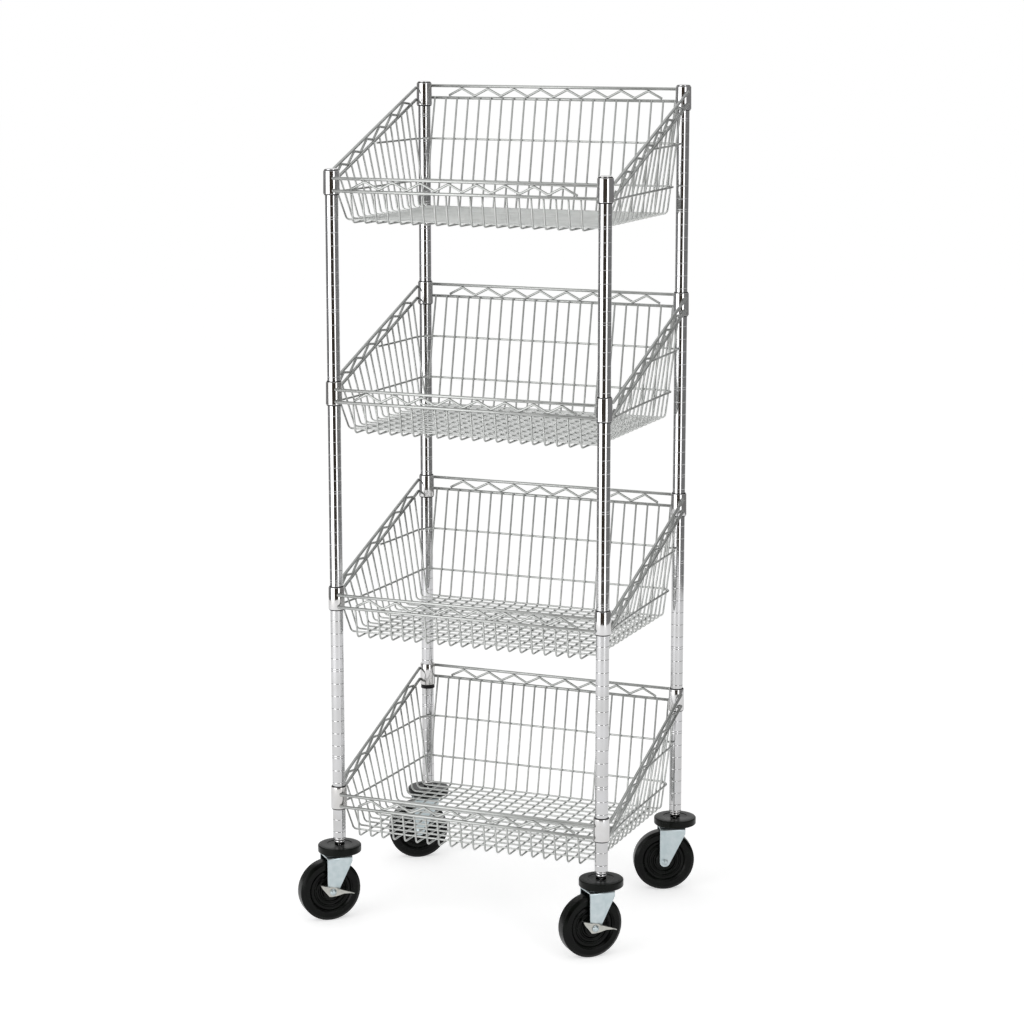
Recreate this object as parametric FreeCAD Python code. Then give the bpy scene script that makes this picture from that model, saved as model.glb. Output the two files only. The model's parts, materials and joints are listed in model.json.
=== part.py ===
"""Rolling basket rack: four sloping wire baskets on four posts, on swivel casters.

Frame: X to the right, Y to the back, Z up, millimetres. The origin lies on the
floor, midway between the four posts. Basket 1 is the lowest.
"""
import FreeCAD, Part
import math
import os

V = FreeCAD.Vector

# ---- Posts -------------------------------------------------------------------
POST_SPACING_X = 559.0      # centre to centre, left to right
POST_SPACING_Y = 432.0      # centre to centre, front to back
POST_DIAMETER = 25.4
POST_WALL = 1.6
POST_OVER_BUMPER = 29.2     # posts' lower ends, over the bumpers' undersides
POST_OVER_COLLAR = 0.35     # post's upper end over the highest collar
REAR_RISE = 152.4           # rear posts and rear collars stand this much higher
CAP_RIM = 2.0               # straight rim of the cap above the post
CAP_DOME = 2.2              # dome above the rim
CAP_CROWN_RADIUS = 7.6
CAP_SIDES = 20
CAP_PLUG_LENGTH = 12.0
CAP_CLEARANCE = 0.05        # cap plug and insert to the tube's bore

# ---- Baskets -----------------------------------------------------------------
BASKETS = 4
BASKET_PITCH = 406.4
LOWEST_COLLAR_UP = 61.0     # underside of the lowest front collars, over the posts' lower ends
COLLAR_HEIGHT = 44.45
COLLAR_WALL = 1.7
COLLAR_TAPER = 0.6          # radius lost from the collar's bottom to its top
COLLAR_SIDES = 16           # what repeats is drawn with flats instead of round
SLEEVE_WALL = 1.7           # at the collar's bottom
SLEEVE_CLEARANCE = 0.05     # sleeve to collar, and sleeve to post
SLEEVE_BELOW = 1.5          # sleeve showing under its collar
SLEEVE_ABOVE = 1.2          # sleeve showing over its collar
SLEEVE_SPLIT = 0.8          # gap between the two halves of a sleeve
LOW_SLEEVE_DROP = 6.5       # the lowest rear left sleeve sits this much lower

RAIL_DIAMETER = 6.2
RAIL_SIDES = 8              # rods are drawn with flats, and meet each other on them
RAIL_SPACING = 24.0         # upper rail over lower rail
LOWER_RAIL_HEIGHT = 6.5     # lower rail's centre over the collar's underside
REAR_RAIL_LIFT = 8.0        # rear rails sit this much higher on their collars than the front ones
RAIL_INSET = 2.2            # rails' centres, in from the collars' outermost line
WELD_GAP = 0.05             # between faces that are welded together
ZIGZAG_DIAMETER = 4.8
ZIGZAG_SIDES = 4
ZIGZAG_PITCH = 57.6
ZIGZAG_MARGIN = 14.0        # least plain rail at each end of a zigzag

MESH_DIAMETER = 3.2
LONG_WIRE_PITCH = 24.7
CROSS_WIRE_PITCH = 25.8
CROSS_WIRE_MARGIN = 5.0     # least gap from the front collars to the front cross wire
FLOOR_DROP = 54.0           # floor's long wires, under the front collars' underside
FRONT_LEAN = 10.0           # how far each wall leans in on its way to the floor
REAR_LEAN = 46.0
SIDE_LEAN = 26.5
WIRE_OVERRUN = 2.0          # wire end over the lower rail's centre
MESH_SIDES = 4
RING_DIAMETER = 4.0
RING_SIDES = 4
RING_MITRES = 4             # in each bend of a ring
UPPER_RING_HEIGHT = 85.0    # over the front collars' underside
LOWER_RING_HEIGHT = 2.0
LOWER_RING_CORNER = 22.0    # bend radius at the rear corners
RING_POST_GAP = 1.4         # the upper ring's bend passes inside the post
RING_FRONT_OVERRUN = 4.5    # lower ring, past the front cross wire

# ---- Casters -----------------------------------------------------------------
WHEEL_DIAMETER = 125.0
WHEEL_WIDTH = 30.0
TREAD_EDGE = 4.0            # bevel at each side of the tread
WHEEL_TOP_GAP = 5.5         # wheel to the fork's top plate
HUB_WIDTH = 35.0
HUB_RADIUS = 17.0
WEB_WIDTH = 20.0
RIM_INNER_RADIUS = 45.0
BUSH_RADIUS = 6.5
BUSH_CLEARANCE = 0.05       # bush to the wheel's bore
BUSH_SIDES = 12
WHEEL_SIDES = 32
AXLE_DIAMETER = 8.0
RUNNING_CLEARANCE = 0.05
SIDE_CLEARANCE = 0.3        # between turning faces
TRAIL = 23.0                # axle behind the swivel axis
FORK_SHEET = 3.0
FORK_BEND = 5.0             # outer bend radius, top plate to leg
FORK_INNER_WIDTH = 41.0
FORK_FRONT = 19.0           # leg's front edge ahead of the swivel axis
FORK_FRONT_DROP = 12.0      # straight part of that edge
FORK_FOOT_RADIUS = 10.5
AXLE_HEAD_RADIUS = 8.0      # hexagonal head and nut, to their corners
AXLE_HEAD_HEIGHT = 3.5
STEM_DIAMETER = 9.6
STEM_LENGTH = 64.0          # from the fork plate up into the post
STEM_HEAD_RADIUS = 8.0
STEM_HEAD_HEIGHT = 2.6
STEM_HEAD_SIDES = 12
RACE_RADIUS = 21.0
RACE_HEIGHT = 5.0
RACE_SIDES = 20
BUMPER_RADIUS = 43.2
BUMPER_SHOULDER = 19.2      # height of the bumper's straight side
BUMPER_HEIGHT = 26.2
BUMPER_DISH = 18.2          # height of the dish at the hole
BUMPER_CREST_RADIUS = 35.0
BUMPER_EDGE = 3.0           # bevel under the bumper
BUMPER_SIDES = 24
BUMPER_HOLE_CLEARANCE = 1.0 # round the insert's nut
INSERT_LENGTH = 32.0        # part of the insert inside the post
INSERT_FLANGE_HEIGHT = 3.0
INSERT_NUT_RADIUS = 9.0
INSERT_NUT_HEIGHT = 10.0
INSERT_SIDES = 20
LEVER_SHEET = 2.0
LEVER_PAD = 9.0             # how far the foot pads stand out
LEVER_FRONT = 45.0          # front tip, ahead of the axle
LEVER_FRONT_DROP = 6.0      # top of the front tip, under the axle
LEVER_REAR = 27.0           # rear tip, behind the axle
LEVER_REAR_RISE = 20.0
LEVER_PAD_LENGTH = 10.0     # rear pad
LEVER_PAD_SLOPE = 5.0       # drop over the rear pad
LEVER_BOSS = 11.0           # plate below and beside the axle
LEVER_NECK = 9.0            # plate above the axle's front side
SWIVEL_ANGLE = {            # at 0 the brake side faces forward and the wheel trails to the left
    "front_left": 45.0,
    "front_right": 46.0,
    "rear_right": 27.0,
    "rear_left": 33.0,
}
BRAKED = ("front_left", "front_right")

# ---- Worked-out places ---------------------------------------------------------
HALF_X = POST_SPACING_X / 2
HALF_Y = POST_SPACING_Y / 2
POSTS = {
    "front_left": (-HALF_X, -HALF_Y),
    "front_right": (HALF_X, -HALF_Y),
    "rear_right": (HALF_X, HALF_Y),
    "rear_left": (-HALF_X, HALF_Y),
}
AXLE_HEIGHT = WHEEL_DIAMETER / 2
AXLE_HOLE_RADIUS = AXLE_DIAMETER / 2 + RUNNING_CLEARANCE
STEM_HOLE_RADIUS = STEM_DIAMETER / 2 + RUNNING_CLEARANCE
FORK_TOP = WHEEL_DIAMETER + WHEEL_TOP_GAP + FORK_SHEET
BUMPER_BOTTOM = FORK_TOP + SIDE_CLEARANCE + RACE_HEIGHT
POST_BOTTOM = BUMPER_BOTTOM + POST_OVER_BUMPER
POST_RADIUS = POST_DIAMETER / 2
BORE_RADIUS = POST_RADIUS - POST_WALL
LOWEST_COLLAR = POST_BOTTOM + LOWEST_COLLAR_UP
HIGHEST_COLLAR = LOWEST_COLLAR + (BASKETS - 1) * BASKET_PITCH
COLLAR_BOTTOM_RADIUS = POST_RADIUS + SLEEVE_WALL + COLLAR_WALL + 2 * SLEEVE_CLEARANCE
COLLAR_TOP_RADIUS = COLLAR_BOTTOM_RADIUS - COLLAR_TAPER
RAIL_OUT = COLLAR_BOTTOM_RADIUS - RAIL_INSET
RAIL_RISE = REAR_RISE + REAR_RAIL_LIFT
RIM_SLOPE = RAIL_RISE / POST_SPACING_Y
RAIL_RADIUS = RAIL_DIAMETER / 2
MESH_RADIUS = MESH_DIAMETER / 2
UPPER_RAIL_HEIGHT = LOWER_RAIL_HEIGHT + RAIL_SPACING
WIRE_IN = RAIL_RADIUS + MESH_RADIUS + WELD_GAP       # mesh wire's top, in from its rail
LONG_WIRE_TOP_Y = HALF_Y + RAIL_OUT - WIRE_IN
CROSS_WIRE_TOP_X = HALF_X + RAIL_OUT - WIRE_IN
FLOOR_FRONT_Y = -(LONG_WIRE_TOP_Y - FRONT_LEAN)
FLOOR_REAR_Y = LONG_WIRE_TOP_Y - REAR_LEAN
FLOOR_SIDE_X = CROSS_WIRE_TOP_X - SIDE_LEAN
REAR_CROSS_Y = FLOOR_REAR_Y - MESH_DIAMETER          # cross wire beside the long wires' rear bend
REAR_RAIL_HEIGHT = LOWER_RAIL_HEIGHT + RAIL_RISE
CROSS_FLOOR = -FLOOR_DROP + MESH_DIAMETER + WELD_GAP   # cross wires lie on the long ones
UP = V(0, 0, 1)
RIGHT = V(1, 0, 0)
BACK = V(0, 1, 0)

os.makedirs("parts", exist_ok=True)


# ---- Building blocks -------------------------------------------------------------
def save(name, solids):
    """Write one node: a single solid, or a group of separate ones."""
    shape = solids[0] if len(solids) == 1 else Part.makeCompound(solids)
    shape.exportStep("parts/" + name + ".step")


def face(corners):
    return Part.Face(Part.makePolygon(corners + corners[:1]))


def cylinder(radius, low, high, x=0.0, y=0.0):
    return Part.makeCylinder(radius, high - low, V(x, y, low))


def turned(outline, sides):
    """A body turned about Z from (radius, height) corners, drawn with flats.

    The flats lie at the given radii, and one of them faces each of +X, +Y, -X and -Y.
    """
    rings = []
    for radius, height in outline:
        corner = radius / math.cos(math.pi / sides)
        angles = [(2 * i + 1) * math.pi / sides for i in range(sides)]
        rings.append([V(corner * math.cos(a), corner * math.sin(a), height) for a in angles])
    faces = []
    for (radius, _), low, high in zip(outline, rings, rings[1:] + rings[:1]):
        if low[0].Length == abs(low[0].z) and high[0].Length == abs(high[0].z):
            continue
        for i in range(sides):
            j = (i + 1) % sides
            quad = [low[i], low[j], high[j], high[i]]
            corners = [p for k, p in enumerate(quad) if p != quad[k - 1]]
            faces.append(face(corners))
    solid = Part.makeSolid(Part.makeShell(faces))
    if solid.Volume < 0:
        solid.reverse()
    return solid


def within(radius, sides):
    """Radius to the flats of a body whose corners reach the given radius."""
    return radius * math.cos(math.pi / sides)


def hexagon(corner_radius, low, high):
    """A hexagonal prism about Z, such as a nut."""
    angles = [i * math.pi / 3 for i in range(6)]
    corners = [V(corner_radius * math.cos(a), corner_radius * math.sin(a), low) for a in angles]
    return face(corners).extrude(V(0, 0, high - low))


def placed(shape, x, y, z=0.0, turn=0.0):
    """A copy of the shape, turned about Z and moved to (x, y, z)."""
    copy = shape.copy()
    copy.rotate(V(0, 0, 0), UP, turn)
    copy.translate(V(x, y, z))
    return copy


def rod(path, size, sides, facing):
    """A rod of even polygon section, mitred where the path bends.

    size is measured across the flats; at the start, one flat faces 'facing'.
    """
    runs = [(b - a).normalize() for a, b in zip(path, path[1:])]
    side = runs[0].cross(facing).normalize()
    face_way = side.cross(runs[0]).normalize()
    corner_radius = size / 2 / math.cos(math.pi / sides)
    section = []
    for i in range(sides):
        angle = (2 * i + 1) * math.pi / sides
        offset = face_way * math.cos(angle) + side * math.sin(angle)
        section.append(path[0] + offset * corner_radius)
    sections = [section]
    for i, run in enumerate(runs):
        cut = run + runs[i + 1] if i + 1 < len(runs) else run
        end = path[i + 1]
        section = [p + run * ((end - p).dot(cut) / run.dot(cut)) for p in section]
        sections.append(section)
    faces = [face(sections[0]), face(sections[-1])]
    for low, high in zip(sections, sections[1:]):
        for i in range(sides):
            j = (i + 1) % sides
            faces.append(face([low[i], low[j], high[j], high[i]]))
    solid = Part.makeSolid(Part.makeShell(faces))
    if solid.Volume < 0:
        solid.reverse()
    return solid


def bent(before, corner, after, radius, mitres):
    """Points that round one corner of a path with equal mitres about an arc."""
    ahead = (corner - before).normalize()
    onward = (after - corner).normalize()
    turn = ahead.getAngle(onward)
    inward = (onward - ahead * math.cos(turn)).normalize()
    centre = corner - ahead * (radius * math.tan(turn / 2)) + inward * radius
    reach = radius / math.cos(turn / 2 / mitres)
    points = []
    for i in range(mitres):
        angle = (i + 0.5) * turn / mitres
        points.append(centre + (ahead * math.sin(angle) - inward * math.cos(angle)) * reach)
    return points


def spread(count, pitch):
    """Even places, centred on zero."""
    return [(i - (count - 1) / 2) * pitch for i in range(count)]


# ---- Heights and walls of a basket, over the front collars' underside -----------------
def side_rail_height(y):
    """Lower side rail's centre at y."""
    return LOWER_RAIL_HEIGHT + RIM_SLOPE * (y + HALF_Y)


def side_wall_x(y, height):
    """Centre of the right-hand cross wire leg at y, at a height."""
    top = side_rail_height(y)
    return CROSS_WIRE_TOP_X - SIDE_LEAN * (top - height) / (top - CROSS_FLOOR)


def rear_wall_y(height):
    """Centre of the long wires' rear legs at a height."""
    fall = (REAR_RAIL_HEIGHT - height) / (REAR_RAIL_HEIGHT + FLOOR_DROP)
    return LONG_WIRE_TOP_Y - REAR_LEAN * fall


def collar_radius(height):
    """Outside of the tapered collar, at a height over its underside."""
    return COLLAR_BOTTOM_RADIUS - COLLAR_TAPER * height / COLLAR_HEIGHT


def rail_end(height):
    """How far from the post's centre a rail stops, its inner flat against the collar."""
    radius = collar_radius(height - RAIL_RADIUS) + WELD_GAP
    return math.sqrt(radius ** 2 - (RAIL_OUT - RAIL_RADIUS) ** 2)


# ---- Basket pieces ---------------------------------------------------------------
def corner_heights(base):
    """Each post's name and place, with the underside of its collar."""
    for name, (x, y) in POSTS.items():
        yield name, x, y, base + (REAR_RISE if y > 0 else 0.0)


def collars(base):
    inner = [(COLLAR_TOP_RADIUS - COLLAR_WALL, COLLAR_HEIGHT), (COLLAR_BOTTOM_RADIUS - COLLAR_WALL, 0)]
    outer = [(COLLAR_BOTTOM_RADIUS, 0), (COLLAR_TOP_RADIUS, COLLAR_HEIGHT)]
    collar = turned(outer + inner, COLLAR_SIDES)
    return [placed(collar, x, y, z) for name, x, y, z in corner_heights(base)]


def sleeves(base, lowest):
    """Two tapered halves in each collar, drawn tight round the post."""
    low = -SLEEVE_BELOW
    high = COLLAR_HEIGHT + SLEEVE_ABOVE
    gap = COLLAR_WALL + SLEEVE_CLEARANCE
    bore = POST_RADIUS + SLEEVE_CLEARANCE
    outline = [(bore, low), (collar_radius(low) - gap, low), (collar_radius(high) - gap, high), (bore, high)]
    reach = 2 * COLLAR_BOTTOM_RADIUS
    split = Part.makeBox(2 * reach, SLEEVE_SPLIT, high - low, V(-reach, -SLEEVE_SPLIT / 2, low))
    halves = turned(outline, COLLAR_SIDES).cut(split).Solids
    solids = []
    for name, x, y, z in corner_heights(base):
        drop = LOW_SLEEVE_DROP if lowest and name == "rear_left" else 0.0
        solids += [placed(half, x, y, z - drop) for half in halves]
    return solids


def rim_rails(base):
    """Upper and lower rail on each side; the side rails slope up to the back."""
    solids = []
    for height in (LOWER_RAIL_HEIGHT, UPPER_RAIL_HEIGHT):
        front_end = rail_end(height)
        rear_end = rail_end(height + REAR_RAIL_LIFT)
        for side, end, z in ((-1, front_end, base + height), (1, rear_end, base + height + RAIL_RISE)):
            y = side * (HALF_Y + RAIL_OUT)
            x = HALF_X - end
            solids.append(rod([V(-x, y, z), V(x, y, z)], RAIL_DIAMETER, RAIL_SIDES, BACK))
        tilt = RAIL_RADIUS * RIM_SLOPE
        front_y = -HALF_Y + front_end + tilt
        rear_y = HALF_Y - rear_end - tilt
        middle = base + height + RAIL_RISE / 2
        for x in (-HALF_X - RAIL_OUT, HALF_X + RAIL_OUT):
            ends = [V(x, y, middle + y * RIM_SLOPE) for y in (front_y, rear_y)]
            solids.append(rod(ends, RAIL_DIAMETER, RAIL_SIDES, RIGHT))
    return solids


def zigzag(along, start, span, slope, facing):
    """A wire that climbs and falls between two rails; it begins and ends on the lower one."""
    peaks = int((span - 2 * ZIGZAG_MARGIN) / ZIGZAG_PITCH)
    climb = 2 * (RAIL_SPACING - RAIL_DIAMETER - ZIGZAG_DIAMETER) / ZIGZAG_PITCH
    tip = ZIGZAG_DIAMETER / 2 * math.hypot(1, climb)
    low = (RAIL_RADIUS + tip + WELD_GAP) * math.hypot(1, slope)
    high = RAIL_SPACING - low
    path = []
    for i, place in enumerate(spread(2 * peaks + 1, ZIGZAG_PITCH / 2)):
        height = place * slope + (high if i % 2 else low)
        path.append(start + along * place + UP * height)
    return rod(path, ZIGZAG_DIAMETER, ZIGZAG_SIDES, facing)


def rim_zigzags(base):
    span_x = POST_SPACING_X - 2 * rail_end(LOWER_RAIL_HEIGHT)
    span_y = POST_SPACING_Y - 2 * rail_end(LOWER_RAIL_HEIGHT)
    low = base + LOWER_RAIL_HEIGHT
    out_x = HALF_X + RAIL_OUT
    out_y = HALF_Y + RAIL_OUT
    return [
        zigzag(RIGHT, V(0, -out_y, low), span_x, 0.0, BACK),
        zigzag(RIGHT, V(0, out_y, low + RAIL_RISE), span_x, 0.0, BACK),
        zigzag(BACK, V(-out_x, 0, low + RAIL_RISE / 2), span_y, RIM_SLOPE, RIGHT),
        zigzag(BACK, V(out_x, 0, low + RAIL_RISE / 2), span_y, RIM_SLOPE, RIGHT),
    ]


def long_wire_places():
    count = 2 * int((FLOOR_SIDE_X - LONG_WIRE_PITCH / 2) / LONG_WIRE_PITCH)
    return spread(count, LONG_WIRE_PITCH)


def long_wires(base):
    """Front to back under the floor, up the front wall and the rear wall."""
    solids = []
    for x in long_wire_places():
        path = [
            V(x, -LONG_WIRE_TOP_Y, base + LOWER_RAIL_HEIGHT + WIRE_OVERRUN),
            V(x, FLOOR_FRONT_Y, base - FLOOR_DROP),
            V(x, FLOOR_REAR_Y, base - FLOOR_DROP),
            V(x, LONG_WIRE_TOP_Y, base + REAR_RAIL_HEIGHT + WIRE_OVERRUN),
        ]
        solids.append(rod(path, MESH_DIAMETER, MESH_SIDES, RIGHT))
    return solids


def cross_wire_places():
    """From the rear bend forward, as many as fit behind the front collars."""
    # The rear one stays where the upper ring beside it is still straight.
    bend = upper_ring_bend() * (1 - math.tan(math.pi / 4 / RING_MITRES))
    straight = ring_corner(UPPER_RING_HEIGHT).y - bend - MESH_RADIUS - WELD_GAP
    last = min(REAR_CROSS_Y, straight)
    foremost = -HALF_Y + COLLAR_BOTTOM_RADIUS + MESH_RADIUS + CROSS_WIRE_MARGIN
    count = 1 + int((last - foremost) / CROSS_WIRE_PITCH)
    return [last - i * CROSS_WIRE_PITCH for i in range(count)]


def cross_wires(base):
    """Side to side on top of the long wires, and up both side walls."""
    solids = []
    for y in cross_wire_places():
        top = base + side_rail_height(y) + WIRE_OVERRUN
        low = base + CROSS_FLOOR
        path = [
            V(-CROSS_WIRE_TOP_X, y, top),
            V(-FLOOR_SIDE_X, y, low),
            V(FLOOR_SIDE_X, y, low),
            V(CROSS_WIRE_TOP_X, y, top),
        ]
        solids.append(rod(path, MESH_DIAMETER, MESH_SIDES, BACK))
    return solids


def ring_offset(lean):
    """From a wall wire's centre out to the ring's, where the wall leans by 'lean' per unit of height."""
    return MESH_RADIUS * math.hypot(1, lean) + RING_DIAMETER / 2 * (1 + lean) + WELD_GAP


def ring_side(y, height):
    """How far out a ring's side lies at y, just clear of the wall wires."""
    lean = SIDE_LEAN / (side_rail_height(y) - CROSS_FLOOR)
    return side_wall_x(y, height) + ring_offset(lean)


def ring_corner(height):
    """Where the straight side and back of a ring would cross, on the right."""
    lean = REAR_LEAN / (REAR_RAIL_HEIGHT + FLOOR_DROP)
    return V(ring_side(REAR_CROSS_Y, height), rear_wall_y(height) + ring_offset(lean), height)


def ring_half(height, front, corner_radius):
    """A ring's path along the right side, touching the wall wires, to the middle of the back."""
    places = reversed(cross_wire_places()[3::3])
    stations = [front] + [y for y in places if y > front + CROSS_WIRE_PITCH]
    side = [V(ring_side(y, height), y, height) for y in stations]
    corner = ring_corner(height)
    back = V(0, corner.y, height)
    return side + bent(side[-1], corner, back, corner_radius, RING_MITRES) + [back]


def upper_ring_bend():
    """Bend radius whose middle passes the rear post at the stated gap."""
    corner = ring_corner(UPPER_RING_HEIGHT)
    past_post = (corner.x - HALF_X + corner.y - HALF_Y) / math.sqrt(2)
    return (POST_RADIUS + RING_DIAMETER / 2 + RING_POST_GAP + past_post) / (math.sqrt(2) - 1)


def ring_halves():
    # The upper ring's front ends stop under the sloping side rails.
    under_rail = RAIL_RADIUS * math.hypot(1, RIM_SLOPE) + RING_DIAMETER / 2 + WELD_GAP
    rise = UPPER_RING_HEIGHT + under_rail - LOWER_RAIL_HEIGHT
    upper_front = rise / RIM_SLOPE - HALF_Y
    lower_front = cross_wire_places()[-1] - RING_FRONT_OVERRUN
    upper = ring_half(UPPER_RING_HEIGHT, upper_front, upper_ring_bend())
    lower = ring_half(LOWER_RING_HEIGHT, lower_front, LOWER_RING_CORNER)
    return upper, lower


def ring_wires(base):
    """Two wires round the outside of the sides and the back."""
    solids = []
    for half in ring_halves():
        right = half[:-1]
        left = [V(-p.x, p.y, p.z) for p in reversed(right)]
        solids.append(placed(rod(right + left, RING_DIAMETER, RING_SIDES, UP), 0, 0, base))
    return solids


def inside_ring(x, half, lean):
    """The furthest back that an upright wire can stand at x inside a ring, touching it."""
    places = []
    for a, b in zip(half, half[1:]):
        out = (b - a).cross(UP).normalize()
        if out.y > 0.3:
            half_wire = MESH_RADIUS * (abs(out.x) + out.y * math.hypot(1, lean))
            inside = RING_DIAMETER / 2 * (1 + lean * out.y) + half_wire + WELD_GAP
            places.append((out.dot(a) - inside - out.x * x) / out.y)
    return V(x, min(places), half[0].z)


def corner_wires(base):
    """One in each rear corner, from the rear rail down inside both rings."""
    x = long_wire_places()[-1] + LONG_WIRE_PITCH
    path = [V(x, LONG_WIRE_TOP_Y, REAR_RAIL_HEIGHT + WIRE_OVERRUN)]
    lean = REAR_LEAN / (REAR_RAIL_HEIGHT + FLOOR_DROP)
    for half in ring_halves():
        # The place depends a little on the run's own lean, so it is found twice.
        for again in range(2):
            place = inside_ring(x, half, lean)
            lean = (path[-1].y - place.y) / (path[-1].z - place.z)
        path.append(place)
    top, upper, lower = path
    end = lower + (lower - upper).normalize() * RING_DIAMETER
    right = rod([top, upper, end], MESH_DIAMETER, MESH_SIDES, RIGHT)
    left = right.mirror(V(0, 0, 0), RIGHT)
    return [placed(wire, 0, 0, base) for wire in (left, right)]


# ---- Post pieces -----------------------------------------------------------------
def post_top(y):
    return HIGHEST_COLLAR + COLLAR_HEIGHT + POST_OVER_COLLAR + (REAR_RISE if y > 0 else 0.0)


def post(x, y):
    tube = cylinder(POST_RADIUS, POST_BOTTOM, post_top(y))
    bore = cylinder(BORE_RADIUS, POST_BOTTOM, post_top(y))
    return placed(tube.cut(bore), x, y)


def post_cap():
    """Plug with a low dome; z = 0 is the post's end."""
    plug = within(BORE_RADIUS - CAP_CLEARANCE, CAP_SIDES)
    rim = within(POST_RADIUS, CAP_SIDES)
    outline = [
        (0, -CAP_PLUG_LENGTH),
        (plug, -CAP_PLUG_LENGTH),
        (plug, 0),
        (rim, 0),
        (rim, CAP_RIM),
        (CAP_CROWN_RADIUS, CAP_RIM + CAP_DOME),
        (0, CAP_RIM + CAP_DOME),
    ]
    return turned(outline, CAP_SIDES)


def post_insert():
    """Threaded insert in the post's lower end, with a flange and a nut under it."""
    flange_low = POST_BOTTOM - INSERT_FLANGE_HEIGHT
    nut_low = flange_low - INSERT_NUT_HEIGHT
    top = POST_BOTTOM + INSERT_LENGTH
    plug = within(BORE_RADIUS - CAP_CLEARANCE, INSERT_SIDES)
    flange = within(POST_RADIUS, INSERT_SIDES)
    outline = [
        (0, flange_low),
        (flange, flange_low),
        (flange, POST_BOTTOM),
        (plug, POST_BOTTOM),
        (plug, top),
        (0, top),
    ]
    solid = turned(outline, INSERT_SIDES).fuse(hexagon(INSERT_NUT_RADIUS, nut_low, flange_low))
    return solid.cut(cylinder(STEM_HOLE_RADIUS, nut_low, top)).removeSplitter()


# ---- Caster pieces, with the swivel axis at x = y = 0 --------------------------------
def stem():
    """Kingpin: its head holds the fork up, its shank goes up into the post."""
    head_top = FORK_TOP - FORK_SHEET - SIDE_CLEARANCE
    head_low = head_top - STEM_HEAD_HEIGHT
    radius = within(STEM_HEAD_RADIUS, STEM_HEAD_SIDES)
    head = turned([(0, head_low), (radius, head_low), (radius, head_top), (0, head_top)], STEM_HEAD_SIDES)
    return cylinder(STEM_DIAMETER / 2, head_top, head_top + STEM_LENGTH).fuse(head)


def swivel_race():
    low = FORK_TOP + SIDE_CLEARANCE
    outline = [(0, low), (RACE_RADIUS, low), (RACE_RADIUS, BUMPER_BOTTOM), (0, BUMPER_BOTTOM)]
    return turned(outline, RACE_SIDES).cut(cylinder(STEM_HOLE_RADIUS, low, BUMPER_BOTTOM))


def bumper():
    """Rubber ring with a dished top, resting on the race."""
    hole = INSERT_NUT_RADIUS + BUMPER_HOLE_CLEARANCE
    outline = [
        (hole, BUMPER_BOTTOM),
        (BUMPER_RADIUS - BUMPER_EDGE, BUMPER_BOTTOM),
        (BUMPER_RADIUS, BUMPER_BOTTOM + BUMPER_EDGE),
        (BUMPER_RADIUS, BUMPER_BOTTOM + BUMPER_SHOULDER),
        (BUMPER_CREST_RADIUS, BUMPER_BOTTOM + BUMPER_HEIGHT),
        (hole, BUMPER_BOTTOM + BUMPER_DISH),
    ]
    return turned(outline, BUMPER_SIDES)


def top_edges_along_x(box):
    def lies_on_top(edge):
        bounds = edge.BoundBox
        return bounds.ZMin > box.BoundBox.ZMax - 0.01 and bounds.YLength < 0.01

    return [edge for edge in box.Edges if lies_on_top(edge)]


def fork():
    """Pressed sheet: a top plate with two legs that narrow towards the axle."""
    half = FORK_INNER_WIDTH / 2
    outer = half + FORK_SHEET
    rear = TRAIL + FORK_FOOT_RADIUS
    depth = FORK_TOP - AXLE_HEIGHT + FORK_FOOT_RADIUS
    length = rear + FORK_FRONT
    channel = Part.makeBox(length, 2 * outer, depth, V(-FORK_FRONT, -outer, FORK_TOP - depth))
    channel = channel.makeFillet(FORK_BEND, top_edges_along_x(channel))
    inside_low = FORK_TOP - depth
    inside = Part.makeBox(length, 2 * half, depth - FORK_SHEET, V(-FORK_FRONT, -half, inside_low))
    inside = inside.makeFillet(FORK_BEND - FORK_SHEET, top_edges_along_x(inside))
    # Leg outline: down from the top plate, round the axle, straight up the back.
    axle = V(TRAIL, -outer, AXLE_HEIGHT)
    corner = V(-FORK_FRONT, -outer, FORK_TOP - FORK_FRONT_DROP)
    reach = corner - axle
    tilt = math.atan2(reach.z, reach.x) + math.acos(FORK_FOOT_RADIUS / reach.Length)
    touch = axle + V(math.cos(tilt), 0, math.sin(tilt)) * FORK_FOOT_RADIUS
    low = axle + V(math.cos((tilt - math.tau) / 2), 0, math.sin((tilt - math.tau) / 2)) * FORK_FOOT_RADIUS
    back = V(rear, -outer, AXLE_HEIGHT)
    top_back = V(rear, -outer, FORK_TOP)
    top_front = V(-FORK_FRONT, -outer, FORK_TOP)
    edges = [
        Part.LineSegment(top_front, corner).toShape(),
        Part.LineSegment(corner, touch).toShape(),
        Part.Arc(touch, low, back).toShape(),
        Part.LineSegment(back, top_back).toShape(),
        Part.LineSegment(top_back, top_front).toShape(),
    ]
    legs = Part.Face(Part.Wire(edges)).extrude(V(0, 2 * outer, 0))
    solid = channel.cut(inside).common(legs)
    solid = solid.cut(cylinder(STEM_HOLE_RADIUS, FORK_TOP - FORK_SHEET, FORK_TOP))
    hole = Part.makeCylinder(AXLE_HOLE_RADIUS, 2 * outer, axle, BACK)
    return solid.cut(hole)


def on_axle(solid):
    """Moves what was turned about Z onto the axle."""
    solid.rotate(V(0, 0, 0), RIGHT, 90)
    solid.translate(V(TRAIL, 0, AXLE_HEIGHT))
    return solid


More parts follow.
